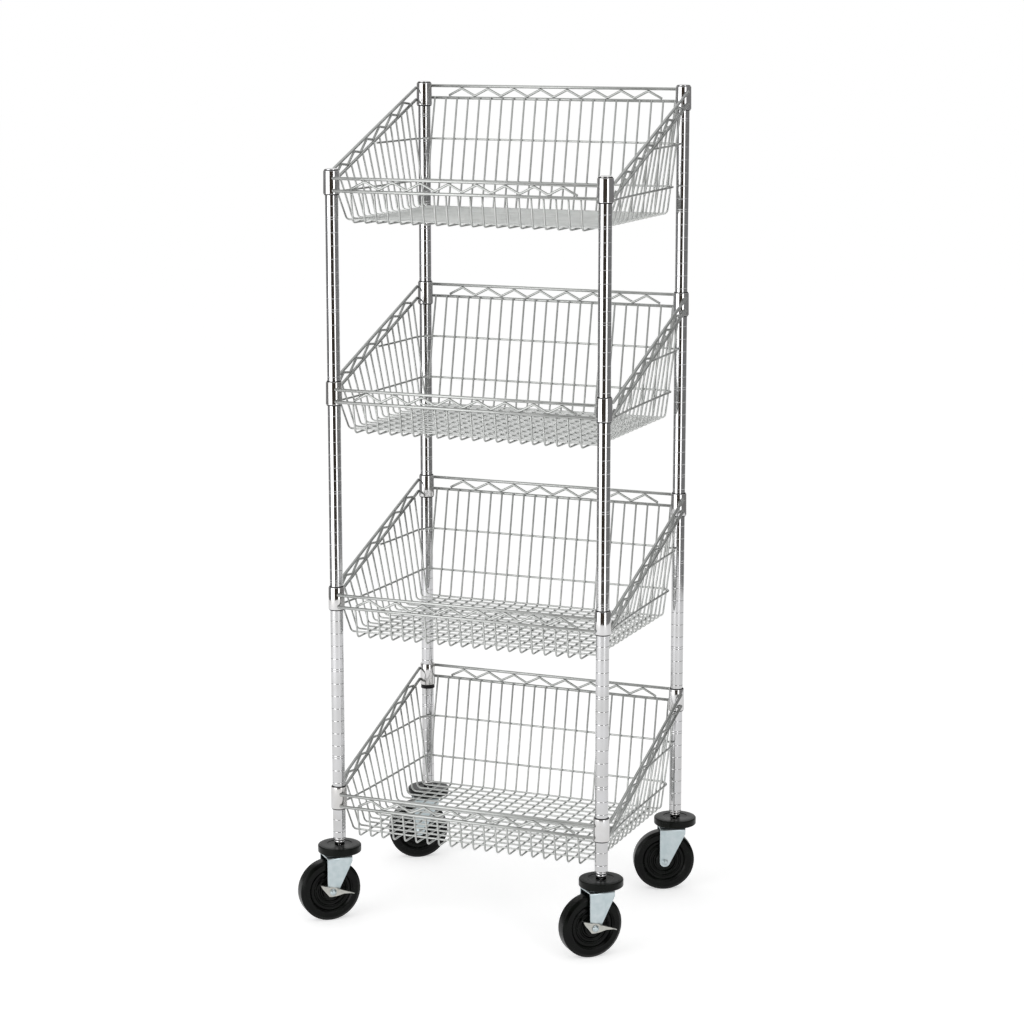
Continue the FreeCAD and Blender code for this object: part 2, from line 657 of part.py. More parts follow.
def wheel():
    """Tyre, web and hub in one moulding, with a recess on each face."""
    right_side = [
        (BUSH_RADIUS + BUSH_CLEARANCE, HUB_WIDTH / 2),
        (HUB_RADIUS, HUB_WIDTH / 2),
        (HUB_RADIUS, WEB_WIDTH / 2),
        (RIM_INNER_RADIUS, WEB_WIDTH / 2),
        (RIM_INNER_RADIUS, WHEEL_WIDTH / 2),
        (WHEEL_DIAMETER / 2 - TREAD_EDGE, WHEEL_WIDTH / 2),
        (WHEEL_DIAMETER / 2, WHEEL_WIDTH / 2 - TREAD_EDGE),
    ]
    left_side = [(radius, -place) for radius, place in reversed(right_side)]
    return on_axle(turned(right_side + left_side, WHEEL_SIDES))


def bush():
    """Plain bearing: round inside, and held by its ribs in the wheel's bore."""
    half = FORK_INNER_WIDTH / 2 - SIDE_CLEARANCE
    outside = within(BUSH_RADIUS, BUSH_SIDES)
    body = turned([(0, -half), (outside, -half), (outside, half), (0, half)], BUSH_SIDES)
    return on_axle(body.cut(cylinder(AXLE_DIAMETER / 2 + RUNNING_CLEARANCE, -half, half)))


def axle(braked):
    """Bolt through both legs; on its longer end, at +Y, turns the brake lever."""
    plain = FORK_INNER_WIDTH / 2 + FORK_SHEET
    levered = plain + (LEVER_SHEET + 2 * SIDE_CLEARANCE if braked else 0.0)
    shank = Part.makeCylinder(AXLE_DIAMETER / 2, plain + levered, V(TRAIL, -plain, AXLE_HEIGHT), BACK)
    head = hexagon(AXLE_HEAD_RADIUS, 0, AXLE_HEAD_HEIGHT)
    head.rotate(V(0, 0, 0), RIGHT, -90)
    bolt_head = placed(head, TRAIL, levered, AXLE_HEIGHT)
    nut = placed(head, TRAIL, -plain - AXLE_HEAD_HEIGHT, AXLE_HEIGHT)
    return shank.fuse([bolt_head, nut])


def brake_lever():
    """Pressed plate turning on the axle, its two foot pads folded outwards."""
    plate_y = FORK_INNER_WIDTH / 2 + FORK_SHEET + SIDE_CLEARANCE

    def at(behind, up):
        return V(TRAIL + behind, plate_y, AXLE_HEIGHT + up)

    outline = [
        at(-LEVER_FRONT, -LEVER_FRONT_DROP),
        at(-LEVER_BOSS, LEVER_NECK),
        at(LEVER_REAR - LEVER_PAD_LENGTH, LEVER_REAR_RISE),
        at(LEVER_REAR, LEVER_REAR_RISE - LEVER_PAD_SLOPE),
        at(LEVER_BOSS, -LEVER_BOSS / 2),
        at(LEVER_BOSS / 2, -LEVER_BOSS),
        at(-LEVER_FRONT, -LEVER_BOSS),
    ]
    plate = face(outline).extrude(V(0, LEVER_SHEET, 0))
    pads = []
    for a, b in ((outline[0], outline[1]), (outline[2], outline[3])):
        inward = BACK.cross(b - a).normalize() * LEVER_SHEET
        pads.append(face([a, b, b + inward, a + inward]).extrude(V(0, LEVER_PAD, 0)))
    hole = Part.makeCylinder(AXLE_DIAMETER / 2 + RUNNING_CLEARANCE, LEVER_SHEET, at(0, 0), BACK)
    return plate.fuse(pads).cut(hole).removeSplitter()


# ---- Nodes -----------------------------------------------------------------------
def build():
    for n in range(BASKETS):
        base = LOWEST_COLLAR + n * BASKET_PITCH
        prefix = "basket_" + str(n + 1) + "_"
        save(prefix + "collars", collars(base))
        save(prefix + "sleeves", sleeves(base, n == 0))
        save(prefix + "rim_rails", rim_rails(base))
        save(prefix + "rim_zigzags", rim_zigzags(base))
        save(prefix + "long_wires", long_wires(base))
        save(prefix + "cross_wires", cross_wires(base))
        save(prefix + "ring_wires", ring_wires(base))
        save(prefix + "corner_wires", corner_wires(base))

    for name, (x, y) in POSTS.items():
        save(name + "_post", [post(x, y)])
    places = list(POSTS.values())
    save("post_caps", [placed(post_cap(), x, y, post_top(y)) for x, y in places])
    save("post_inserts", [placed(post_insert(), x, y) for x, y in places])
    save("caster_stems", [placed(stem(), x, y) for x, y in places])
    save("swivel_races", [placed(swivel_race(), x, y) for x, y in places])
    save("caster_bumpers", [placed(bumper(), x, y) for x, y in places])

    for name, (x, y) in POSTS.items():
        # A caster is drawn with its wheel towards +X and its brake side towards +Y.
        turn = 180 + SWIVEL_ANGLE[name]
        pieces = {"fork": fork(), "axle": axle(name in BRAKED), "wheel": wheel(), "bush": bush()}
        if name in BRAKED:
            pieces["brake_lever"] = brake_lever()
        for piece, shape in pieces.items():
            save(name + "_" + piece, [placed(shape, x, y, turn=turn)])


build()
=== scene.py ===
# %% [markdown]
# # A rolling rack with four wire baskets
# The rack is bright plated steel: four grooved posts carry four sloping wire baskets, and the
# whole thing rolls on black casters. The solid model gives the joints and where pieces stand.
# This lesson makes the parts that show: round wires, grooved posts, moulded wheels and finishes.

# %% Load the frame
import json
import math

import bpy
import numpy as np
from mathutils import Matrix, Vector


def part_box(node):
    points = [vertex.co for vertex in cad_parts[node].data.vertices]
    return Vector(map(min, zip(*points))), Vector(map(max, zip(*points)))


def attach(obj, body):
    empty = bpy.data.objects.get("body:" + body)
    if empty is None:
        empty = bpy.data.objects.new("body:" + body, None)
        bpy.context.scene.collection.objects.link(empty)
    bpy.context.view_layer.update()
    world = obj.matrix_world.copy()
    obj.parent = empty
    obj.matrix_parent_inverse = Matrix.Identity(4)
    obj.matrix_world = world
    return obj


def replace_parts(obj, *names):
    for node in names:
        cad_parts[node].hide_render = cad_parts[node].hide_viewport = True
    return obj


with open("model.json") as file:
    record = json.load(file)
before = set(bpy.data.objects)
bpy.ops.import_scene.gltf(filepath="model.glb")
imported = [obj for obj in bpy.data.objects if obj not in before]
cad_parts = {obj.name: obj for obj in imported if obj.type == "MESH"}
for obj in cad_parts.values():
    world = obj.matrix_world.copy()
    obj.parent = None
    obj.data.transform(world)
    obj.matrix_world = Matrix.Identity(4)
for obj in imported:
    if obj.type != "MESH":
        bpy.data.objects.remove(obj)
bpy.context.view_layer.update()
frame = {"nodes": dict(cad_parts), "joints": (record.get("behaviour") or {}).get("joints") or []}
MM = 0.001
RACK = "rack"

# %% [markdown]
# ## Places that come from the frame
# The casters' places and directions are read from the joints, and the baskets' heights from the
# collars, so the visible pieces stand where the solid ones do.

# %% Read posts, baskets and casters
joints = {joint["name"]: joint for joint in frame["joints"]}
CORNERS = ("front_left", "front_right", "rear_right", "rear_left")
posts = {name: np.array(joints[name + "_swivel_turn"]["pos_m"]) for name in CORNERS}
HALF_X = posts["front_right"][0]
HALF_Y = posts["rear_right"][1]
BASKETS = [n for n in range(1, 10) if f"basket_{n}_collars" in frame["nodes"]]
bases = {n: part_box(f"basket_{n}_collars")[0].z for n in BASKETS}
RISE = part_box("rear_left_post")[1].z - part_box("front_left_post")[1].z
print("baskets at", {n: round(z, 4) for n, z in bases.items()}, "and rise", round(RISE, 4))

# %% [markdown]
# ## Two ways to make a surface
# Nearly every piece here is one of two surfaces. A *wire* is a circle carried along a path. A
# *turned* piece is a profile carried round an axle. Both are grids of points, worked out in one
# go with numpy and handed to Blender as flat arrays.


# %% Grids of points into meshes
def grid_quads(wires, rings, around, closed):
    """Corner numbers of every quad in a stack of tubes.

    The points are numbered wire by wire, ring by ring, and then round the ring. A quad joins
    point i of one ring to point i+1, and both to the same two on the next ring. A closed
    stack also joins its last ring to its first.
    """
    number = np.arange(wires * rings * around).reshape(wires, rings, around)
    beside = np.roll(number, -1, axis=2)
    if closed:
        number = np.concatenate([number, number[:, :1]], axis=1)
        beside = np.concatenate([beside, beside[:, :1]], axis=1)
    corners = [number[:, :-1], beside[:, :-1], beside[:, 1:], number[:, 1:]]
    return np.stack(corners, axis=-1).reshape(-1, 4)


def end_polygons(wires, rings, around):
    """Corner numbers of the flat faces that close the two ends of each tube."""
    number = np.arange(wires * rings * around).reshape(wires, rings, around)
    return np.concatenate([number[:, 0, ::-1], number[:, -1]])


def mesh_object(name, points, face_sets, smooth):
    """One object from points and several arrays of faces.

    smooth has a flag for each array: whether its faces are shaded as one round surface.
    """
    mesh = bpy.data.meshes.new(name)
    mesh.vertices.add(len(points))
    mesh.vertices.foreach_set("co", np.asarray(points, np.float32).ravel())
    corners = np.concatenate([faces.ravel() for faces in face_sets])
    sizes = np.concatenate([np.full(len(faces), faces.shape[1]) for faces in face_sets])
    shade = np.concatenate([np.full(len(faces), flag) for faces, flag in zip(face_sets, smooth)])
    mesh.loops.add(len(corners))
    mesh.loops.foreach_set("vertex_index", corners.astype(np.int32))
    mesh.polygons.add(len(sizes))
    mesh.polygons.foreach_set("loop_start", (np.cumsum(sizes) - sizes).astype(np.int32))
    mesh.polygons.foreach_set("use_smooth", shade.astype(bool))
    mesh.update(calc_edges=True)
    piece = bpy.data.objects.new(name, mesh)
    bpy.context.scene.collection.objects.link(piece)
    return piece


def grids_object(name, grids, closed=False, smooth=True):
    """One object from grids of points (tubes, rings, around, 3), with open ends closed flat.

    Each grid may have its own number of rings, so its corner numbers start where those of the
    grid before it stop. A closed grid has no ends.
    """
    points, quads, ends, count = [], [], [], 0
    for grid in grids:
        wires, rings, around, _ = grid.shape
        points.append(grid.reshape(-1, 3))
        quads.append(grid_quads(wires, rings, around, closed) + count)
        if not closed:
            ends.append(end_polygons(wires, rings, around) + count)
        count += wires * rings * around
    flags = [smooth] * len(quads) + [False] * len(ends)
    return mesh_object(name, np.concatenate(points), quads + ends, flags)


print("quads in a tube of 3 rings and 4 sides:", len(grid_quads(1, 3, 4, False)))

# %% [markdown]
# ## Wires
# A machine bends a real wire round a pin, so each corner is a small arc. The path is worked
# out first: straight runs joined by arcs. Then a circle follows it. Every path here lies in a
# plane, so the circle's two directions are simply the plane's normal and one at right angles.


# %% Paths with bends, and tubes along them
WIRE_SIDES = 12
LEAST_LEAN = 0.2


def unit(vectors):
    """The same directions at length 1: each vector divided by its own length."""
    return vectors / np.linalg.norm(vectors, axis=-1, keepdims=True)


def bent_path(corners, radius, steps=6):
    """A path with round bends through straight-run corners (wires, corners, 3).

    At each inner corner the bend is a circular arc of the radius, tangent to both runs: with
    turn t between the runs, it starts radius * tan(t / 2) before the corner. Its points are
    centre + radius * (run * sin a - inward * cos a), for a from 0 to t.
    """
    corners = np.asarray(corners, float)
    radii = np.broadcast_to(radius, corners.shape[1] - 2)
    path = [corners[:, :1]]
    for i, bend in enumerate(radii, start=1):
        run = unit(corners[:, i] - corners[:, i - 1])
        onward = unit(corners[:, i + 1] - corners[:, i])
        cosine = np.sum(run * onward, axis=1, keepdims=True)
        turn = np.arccos(np.clip(cosine, -1, 1))
        inward = unit(onward - run * cosine)
        start = corners[:, i] - run * bend * np.tan(turn / 2)
        centre = start + inward * bend
        angle = turn[:, None] * np.linspace(0, 1, steps)[None, :, None]
        arc = run[:, None] * np.sin(angle) - inward[:, None] * np.cos(angle)
        path.append(centre[:, None] + bend * arc)
    path.append(corners[:, -1:])
    return np.concatenate(path, axis=1)


def tubes(paths, radius, normal, around=WIRE_SIDES, rounding=0.35):
    """Round wires along flat paths (wires, points, 3), as a grid of points.

    A ring is path + radius * (cos a * across + sin a * normal), where across is normal x
    tangent. In a bend the ring leans with the mean of the two runs and is stretched across by
    1 / cos(half the turn), so that the wire keeps its thickness; LEAST_LEAN caps that where a
    path turns back on itself. Each end has one smaller ring, radius * rounding in from the
    edge, which rounds the cut.
    """
    paths = np.asarray(paths, float)
    runs = unit(np.diff(paths, axis=1))
    before = np.concatenate([runs[:, :1], runs], axis=1)
    after = np.concatenate([runs, runs[:, -1:]], axis=1)
    tangent = unit(before + after)
    stretch = 1 / np.maximum(np.sum(tangent * before, axis=2, keepdims=True), LEAST_LEAN)
    across = np.cross(normal, tangent) * stretch
    soft = radius * rounding
    first = paths[:, :1] + tangent[:, :1] * soft
    last = paths[:, -1:] - tangent[:, -1:] * soft
    centres = np.concatenate([paths[:, :1], first, paths[:, 1:-1], last, paths[:, -1:]], axis=1)
    across = np.concatenate([across[:, :1], across, across[:, -1:]], axis=1)
    size = np.full(centres.shape[1], radius)
    size[[0, -1]] = radius - soft
    angle = np.arange(around) * math.tau / around
    ring_across = np.cos(angle)[None, None, :, None] * across[:, :, None]
    ring_up = np.sin(angle)[None, None, :, None] * np.asarray(normal, float)
    return centres[:, :, None] + size[None, :, None, None] * (ring_across + ring_up)


hook = bent_path([[(0, 0, 0), (0, 0, 1), (0, 1, 1)]], 0.1)
print("a path with one bend:", hook.shape, "and its tube:", tubes(hook, 0.01, (1, 0, 0)).shape)

# %% [markdown]
# ## Turned pieces
# Posts, collars, wheels and bumpers are round, so each is a profile of radius and height that
# goes once round an axle. A profile's corner needs three or four close points to look rolled
# or moulded instead of razor sharp.


# %% Profiles and turned surfaces
STEEL_SIDES = 48


def softened(profile, radius, steps=4):
    """A profile whose inner corners are rounded; each corner is an arc as in bent_path."""
    flat = np.asarray(profile, float)
    corners = np.column_stack([flat, np.zeros(len(flat))])[None]
    return bent_path(corners, radius, steps)[0, :, :2]


def turned(profile, around, centres, toward=(1.0, 0.0, 0.0), axis=(0.0, 0.0, 1.0)):
    """Profile points (radius, height) carried round an axis at each centre, as a grid.

    A point is centre + axis * height + radius * (cos a * toward + sin a * (axis x toward)).
    """
    profile = np.asarray(profile, float)
    centres = np.atleast_2d(np.asarray(centres, float))
    toward = np.asarray(toward, float)
    axis = np.asarray(axis, float)
    angle = np.arange(around) * math.tau / around
    spoke = np.outer(np.cos(angle), toward) + np.outer(np.sin(angle), np.cross(axis, toward))
    shape = profile[:, None, :1] * spoke[None] + profile[:, None, 1:] * axis
    return centres[:, None, None] + shape[None]


def swept(profile, around, centres, toward=(1.0, 0.0, 0.0), axis=(0.0, 0.0, 1.0)):
    """A hollow round piece: a closed profile carried once round its axis, as a closed grid."""
    return turned(profile, around, centres, toward, axis).transpose(0, 2, 1, 3)


print("a turned cone with 8 sides:", turned([(1, 0), (0, 1)], 8, (0, 0, 0)).shape)

# %% [markdown]
# ## Grooved posts
# The posts are steel tube with a shallow groove rolled in every inch, which the sleeves snap
# into. They catch the light as fine rings, so each groove is real geometry. Two extra rows of
# points beside each groove keep the plain steel between grooves shading as a true cylinder.

# %% Posts
POST_RADIUS = 12.7 * MM
GROOVE_PITCH = 25.4 * MM
GROOVE_HALF = 0.65 * MM
GROOVE_DEPTH = 0.3 * MM
MARK_EVERY = 7
MARK_UP = 4.5 * MM
POST_EDGE = 0.4 * MM
GROOVE_STEPS = np.array([-1.4, -1.0, -0.45, 0.45, 1.0, 1.4])


def groove_heights(low, high):
    """Heights of one post's grooves: low + pitch * (n + 1/2).

    Every seventh has a second groove close above it, as a mark.
    """
    even = np.arange(low + GROOVE_PITCH / 2, high - GROOVE_PITCH / 4, GROOVE_PITCH)
    marks = even[MARK_EVERY - 1 :: MARK_EVERY] + MARK_UP
    return np.sort(np.concatenate([even, marks[marks < high - GROOVE_PITCH / 4]]))


def post_profile(low, high):
    """Radius and height up a grooved post, six points to a groove, with softened ends."""
    outer, floor = POST_RADIUS, POST_RADIUS - GROOVE_DEPTH
    steps = GROOVE_STEPS * GROOVE_HALF
    radii = np.array([outer, outer, floor, floor, outer, outer])
    heights = groove_heights(low, high)
    grooves = [np.column_stack([radii, height + steps]) for height in heights]
    rows = np.array([[outer - POST_EDGE, 0.0], [outer, POST_EDGE], [outer, 2 * POST_EDGE]])
    end = rows[::-1] * (1, -1) + (0, high)
    return np.concatenate([rows + (0, low), *grooves, end])


made = []
for corner in CORNERS:
    low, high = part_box(corner + "_post")
    centre = (posts[corner][0], posts[corner][1], 0.0)
    skin = turned(post_profile(low.z, high.z), STEEL_SIDES, centre)
    post = grids_object("tube_" + corner, [skin])
    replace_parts(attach(post, RACK), corner + "_post")
    made.append((post, "post_steel"))
print("posts:", [len(piece.data.polygons) for piece, _ in made], "faces each")

# %% [markdown]
# ## Caps, collars and split sleeves
# Each basket corner is a tapered steel collar that jams down over a split plastic sleeve. Only
# the sleeve's thin lips show, above and below the collar, as two dark lines. The cap is a low
# pressed dome.

# %% Caps
CAP_RIM = 2.0 * MM
CAP_HEIGHT = 4.2 * MM
CAP_EDGE = 0.3 * MM
DOME_FROM, DOME_TO = 0.12, math.pi / 2 - 0.03


def dome_profile(radius, rim, height, steps=9):
    """A rim, then a quarter of an ellipse: radius * cos a, rim + (height - rim) * sin a.

    The angle stops short of both ends, so that no two rings of points fall together.
    """
    angle = np.linspace(DOME_FROM, DOME_TO, steps)
    dome = np.column_stack([radius * np.cos(angle), rim + (height - rim) * np.sin(angle)])
    edge = [[radius - CAP_EDGE, 0.0], [radius, CAP_EDGE], [radius, rim]]
    return np.concatenate([edge, dome])


tops = [(posts[c][0], posts[c][1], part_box(c + "_post")[1].z) for c in CORNERS]
dome = dome_profile(POST_RADIUS, CAP_RIM, CAP_HEIGHT)
caps = grids_object("domed_caps", [turned(dome, STEEL_SIDES, tops)])
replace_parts(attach(caps, RACK), "post_caps")
made.append((caps, "chrome"))
print("caps:", len(tops), "with", len(caps.data.polygons), "faces in all")

# %% Collars and sleeves
COLLAR_HEIGHT = 44.45 * MM
COLLAR_LOW_RADIUS = 16.2 * MM
COLLAR_HIGH_RADIUS = 15.6 * MM
COLLAR_WALL = 1.7 * MM
COLLAR_EDGE = 0.8 * MM
SLEEVE_BELOW = 2.2 * MM
SLEEVE_ABOVE = 1.6 * MM
SLEEVE_SPLIT = 0.8 * MM
SLEEVE_GAP = 0.05 * MM
SLEEVE_EDGE = 0.35 * MM
SLEEVE_POINTS = 25
LOW_SLEEVE_DROP = 6.5 * MM


def collar_centres(n):
    """Collar undersides of basket n; the rear pair stands higher by the rise."""
    rise = {c: RISE if c.startswith("rear") else 0.0 for c in CORNERS}
    return [(posts[c][0], posts[c][1], bases[n] + rise[c]) for c in CORNERS]


def collar_profile():
    """Section of a collar: its wall leans in evenly from the low radius to the high one."""
    low, high, top = COLLAR_LOW_RADIUS, COLLAR_HIGH_RADIUS, COLLAR_HEIGHT
    section = [(low - COLLAR_WALL, 0), (low, 0), (high, top), (high - COLLAR_WALL, top)]
    return softened(section, COLLAR_EDGE, steps=5)


def sleeve_halves(n):
    """Both halves of each sleeve: a thin section with two cut corners, round half a turn.

    A half begins and ends at the split, so its angles run from asin(split / 2 / radius) to pi
    less that, and the other half is the same turned by pi.
    """
    low, high = -SLEEVE_BELOW, COLLAR_HEIGHT + SLEEVE_ABOVE
    bore = POST_RADIUS + SLEEVE_GAP
    slope = (COLLAR_LOW_RADIUS - COLLAR_HIGH_RADIUS) / COLLAR_HEIGHT
    wide, thin = (COLLAR_LOW_RADIUS - slope * z - COLLAR_WALL - SLEEVE_GAP for z in (low, high))
    radii = np.array([bore, wide - SLEEVE_EDGE, wide, thin, thin - SLEEVE_EDGE, bore])
    heights = np.array([low, low, low + SLEEVE_EDGE, high - SLEEVE_EDGE, high, high])
    split = math.asin(SLEEVE_SPLIT / 2 / bore)
    halves = []
    for corner, (x, y, z) in zip(CORNERS, collar_centres(n)):
        drop = LOW_SLEEVE_DROP if n == 1 and corner == "rear_left" else 0.0
        for start in (0.0, math.pi):
            angle = start + np.linspace(split, math.pi - split, SLEEVE_POINTS)[:, None]
            level = z - drop + heights + 0 * angle
            places = [x + radii * np.cos(angle), y + radii * np.sin(angle), level]
            halves.append(np.stack(places, axis=-1))
    return np.stack(halves)


for n in BASKETS:
    walls = swept(collar_profile(), STEEL_SIDES, collar_centres(n))
    collars = grids_object(f"tapered_collars_{n}", [walls], closed=True)
    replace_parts(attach(collars, RACK), f"basket_{n}_collars")
    sleeves = grids_object(f"split_sleeves_{n}", [sleeve_halves(n)])
    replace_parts(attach(sleeves, RACK), f"basket_{n}_sleeves")
    made += [(collars, "chrome"), (sleeves, "black_plastic")]
print("collars and sleeves on baskets", BASKETS)

# %% [markdown]
# ## Basket wires
# A basket is one welded mesh. Heavy rails and a zigzag between them make the rim; thin wires
# run front to back and side to side, each bent up at both ends; two ring wires tie the walls
# together on the outside. The walls lean, so each wire's place follows from the wall's lean.
# RAIL, ZIGZAG, MESH and RING are the wires' radii, and heights count from the collars' foot.

# %% Sizes of the wires
RAIL = 3.1 * MM
ZIGZAG = 2.4 * MM
MESH = 1.85 * MM
RING = 2.1 * MM
RAIL_OUT = 14.0 * MM
LOW_RAIL = 6.5 * MM
RAIL_SPACING = 24.0 * MM
WIRE_BEND = 9.0 * MM
FLOOR_DROP = 54.0 * MM
FRONT_LEAN = 10.0 * MM
REAR_LEAN = 46.0 * MM
SIDE_LEAN = 26.5 * MM
REAR_LIFT = 8.0 * MM
RAIL_RISE = RISE + REAR_LIFT
SLOPE = RAIL_RISE / (2 * HALF_Y)
WELD = 0.15 * MM
TOP_IN = RAIL + MESH - WELD
LONG_TOP_Y = HALF_Y + RAIL_OUT - TOP_IN
CROSS_TOP_X = HALF_X + RAIL_OUT - TOP_IN
FLOOR_FRONT = -(LONG_TOP_Y - FRONT_LEAN)
FLOOR_REAR = LONG_TOP_Y - REAR_LEAN
FLOOR_SIDE = CROSS_TOP_X - SIDE_LEAN
CROSS_FLOOR = -FLOOR_DROP + 2 * MESH - WELD
REAR_RAIL = LOW_RAIL + RAIL_RISE
LONG_COUNT, LONG_PITCH = 20, 24.7 * MM
CROSS_COUNT, CROSS_PITCH = 15, 25.8 * MM
LONG_X = (np.arange(LONG_COUNT) - (LONG_COUNT - 1) / 2) * LONG_PITCH
CROSS_Y = FLOOR_REAR - 2 * MESH - np.arange(CROSS_COUNT) * CROSS_PITCH
OVERRUN = 2.0 * MM
print("floor from", round(CROSS_Y[-1], 3), "to", round(CROSS_Y[0], 3), "slope", round(SLOPE, 3))


def side_rail(y):
    """Height of the lower side rail at y; it climbs to the back."""
    return LOW_RAIL + SLOPE * (y + HALF_Y)


def side_wall(y, height):
    """How far out the side wall stands at y: its lean is spread evenly from rail to floor."""
    top = side_rail(y)
    return CROSS_TOP_X - SIDE_LEAN * (top - height) / (top - CROSS_FLOOR)


def rear_wall(height):
    """How far back the rear wall stands, leaning in from the rail to the floor."""
    return LONG_TOP_Y - REAR_LEAN * (REAR_RAIL - height) / (REAR_RAIL + FLOOR_DROP)


# %% Rim rails
ACROSS = np.array([1.0, 0.0, 0.0])
BACK = np.array([0.0, 1.0, 0.0])
UP = np.array([0.0, 0.0, 1.0])
RAIL_END = 8.5 * MM
RAIL_SIDES = 16
RAIL_ROUNDING = 0.6


def rim_rails():
    """Four level rails at the front and back, and four sloping ones at the sides."""
    level, sloping = [], []
    end_x, end_y = HALF_X - RAIL_END, HALF_Y - RAIL_END
    for height in (LOW_RAIL, LOW_RAIL + RAIL_SPACING):
        for y, z in ((-HALF_Y - RAIL_OUT, height), (HALF_Y + RAIL_OUT, height + RAIL_RISE)):
            level.append([(-end_x, y, z), (end_x, y, z)])
        for x in (-HALF_X - RAIL_OUT, HALF_X + RAIL_OUT):
            middle, climb = height + RAIL_RISE / 2, end_y * SLOPE
            sloping.append([(x, -end_y, middle - climb), (x, end_y, middle + climb)])
    level = tubes(level, RAIL, UP, RAIL_SIDES, RAIL_ROUNDING)
    sloping = tubes(sloping, RAIL, ACROSS, RAIL_SIDES, RAIL_ROUNDING)
    return np.concatenate([level, sloping])


rails = rim_rails()
print("rails in one rim:", len(rails))

# %% Rim zigzags
ZIGZAG_PITCH = 57.6 * MM
ZIGZAG_BEND = 6.0 * MM
FRONT_PEAKS = 8
SIDE_PEAKS = 6


def zigzag(peaks, out, rise, slope, along, facing):
    """Corners of a wire that climbs and falls between the rails.

    The bend rounds each corner off by bend * (1 / cos(half turn) - 1), so the corners reach
    that much further than the wire does.
    """
    steps = np.arange(2 * peaks + 1)
    place = (steps - peaks) * ZIGZAG_PITCH / 2
    touch = (RAIL + ZIGZAG) * math.hypot(1, slope) - WELD
    climb = (RAIL_SPACING - 2 * touch) / (ZIGZAG_PITCH / 2)
    round_off = ZIGZAG_BEND * (math.hypot(1, climb) - 1)
    high = RAIL_SPACING - touch + round_off
    height = np.where(steps % 2, high, touch - round_off)
    z = LOW_RAIL + rise + place * slope + height
    return place[:, None] * along + out * facing + z[:, None] * UP


def rim_zigzags():
    """The front and rear zigzag as one grid, and the two sloping ones as another."""
    out_x, out_y = HALF_X + RAIL_OUT, HALF_Y + RAIL_OUT
    level = [zigzag(FRONT_PEAKS, -out_y, 0.0, 0.0, ACROSS, BACK)]
    level.append(zigzag(FRONT_PEAKS, out_y, RAIL_RISE, 0.0, ACROSS, BACK))
    half = RAIL_RISE / 2
    sides = [zigzag(SIDE_PEAKS, out, half, SLOPE, BACK, ACROSS) for out in (-out_x, out_x)]
    level = tubes(bent_path(level, ZIGZAG_BEND), ZIGZAG, BACK)
    sides = tubes(bent_path(sides, ZIGZAG_BEND), ZIGZAG, ACROSS)
    return [level, sides]


zigzags = rim_zigzags()
print("zigzags in one rim:", sum(len(grid) for grid in zigzags))

# %% Floor and wall wires
def long_wires():
    """Front to back under the floor, bent up the front wall and the taller rear wall."""
    paths = [
        [
            (x, -LONG_TOP_Y, LOW_RAIL + OVERRUN),
            (x, FLOOR_FRONT, -FLOOR_DROP),
            (x, FLOOR_REAR, -FLOOR_DROP),
            (x, LONG_TOP_Y, REAR_RAIL + OVERRUN),
        ]
        for x in LONG_X
    ]
    return tubes(bent_path(paths, WIRE_BEND), MESH, ACROSS)


def cross_wires():
    """Side to side on top of the long wires, bent up both sloping side walls."""
    paths = [
        [
            (-CROSS_TOP_X, y, side_rail(y) + OVERRUN),
            (-FLOOR_SIDE, y, CROSS_FLOOR),
            (FLOOR_SIDE, y, CROSS_FLOOR),
            (CROSS_TOP_X, y, side_rail(y) + OVERRUN),
        ]
        for y in CROSS_Y
    ]
    return tubes(bent_path(paths, WIRE_BEND), MESH, BACK)


long, cross = long_wires(), cross_wires()
print("long and cross wires in one basket:", len(long), len(cross))

# %% Ring wires and corner wires
RING_HEIGHTS = (85.0 * MM, 2.0 * MM)
LOWER_RING_BEND = 22.0 * MM
POST_GAP = 1.4 * MM
CORNER_X = LONG_X[-1] + LONG_PITCH
CORNER_END = 4 * MM
RING_FRONT = 4.5 * MM
RING_CLEAR = 20 * MM
TURN_STEPS = 12


def ring_offset(lean):
    """From a leaning wall wire's middle out to the ring that is welded on it."""
    return (MESH + RING - WELD) * np.hypot(1, lean)


def ring_corner(height):
    """Where a ring's side and rear runs would meet if its corner weren't bent round."""
    side_lean = SIDE_LEAN / (side_rail(CROSS_Y[0]) - CROSS_FLOOR)
    rear_lean = REAR_LEAN / (REAR_RAIL + FLOOR_DROP)
    across = side_wall(CROSS_Y[0], height) + ring_offset(side_lean)
    return across, rear_wall(height) + ring_offset(rear_lean)


def upper_ring_bend():
    """The bend that carries the upper ring round the inside of the rear post.

    Along the diagonal a bend of radius r cuts r * (sqrt(2) - 1) off its corner, and it has to
    cut off the post's radius, the gap and its own radius, plus how far its corner is past
    the post's middle.
    """
    corner_x, corner_y = ring_corner(RING_HEIGHTS[0])
    past_post = (corner_x - HALF_X + corner_y - HALF_Y) / math.sqrt(2)
    return (POST_RADIUS + RING + POST_GAP + past_post) / (math.sqrt(2) - 1)


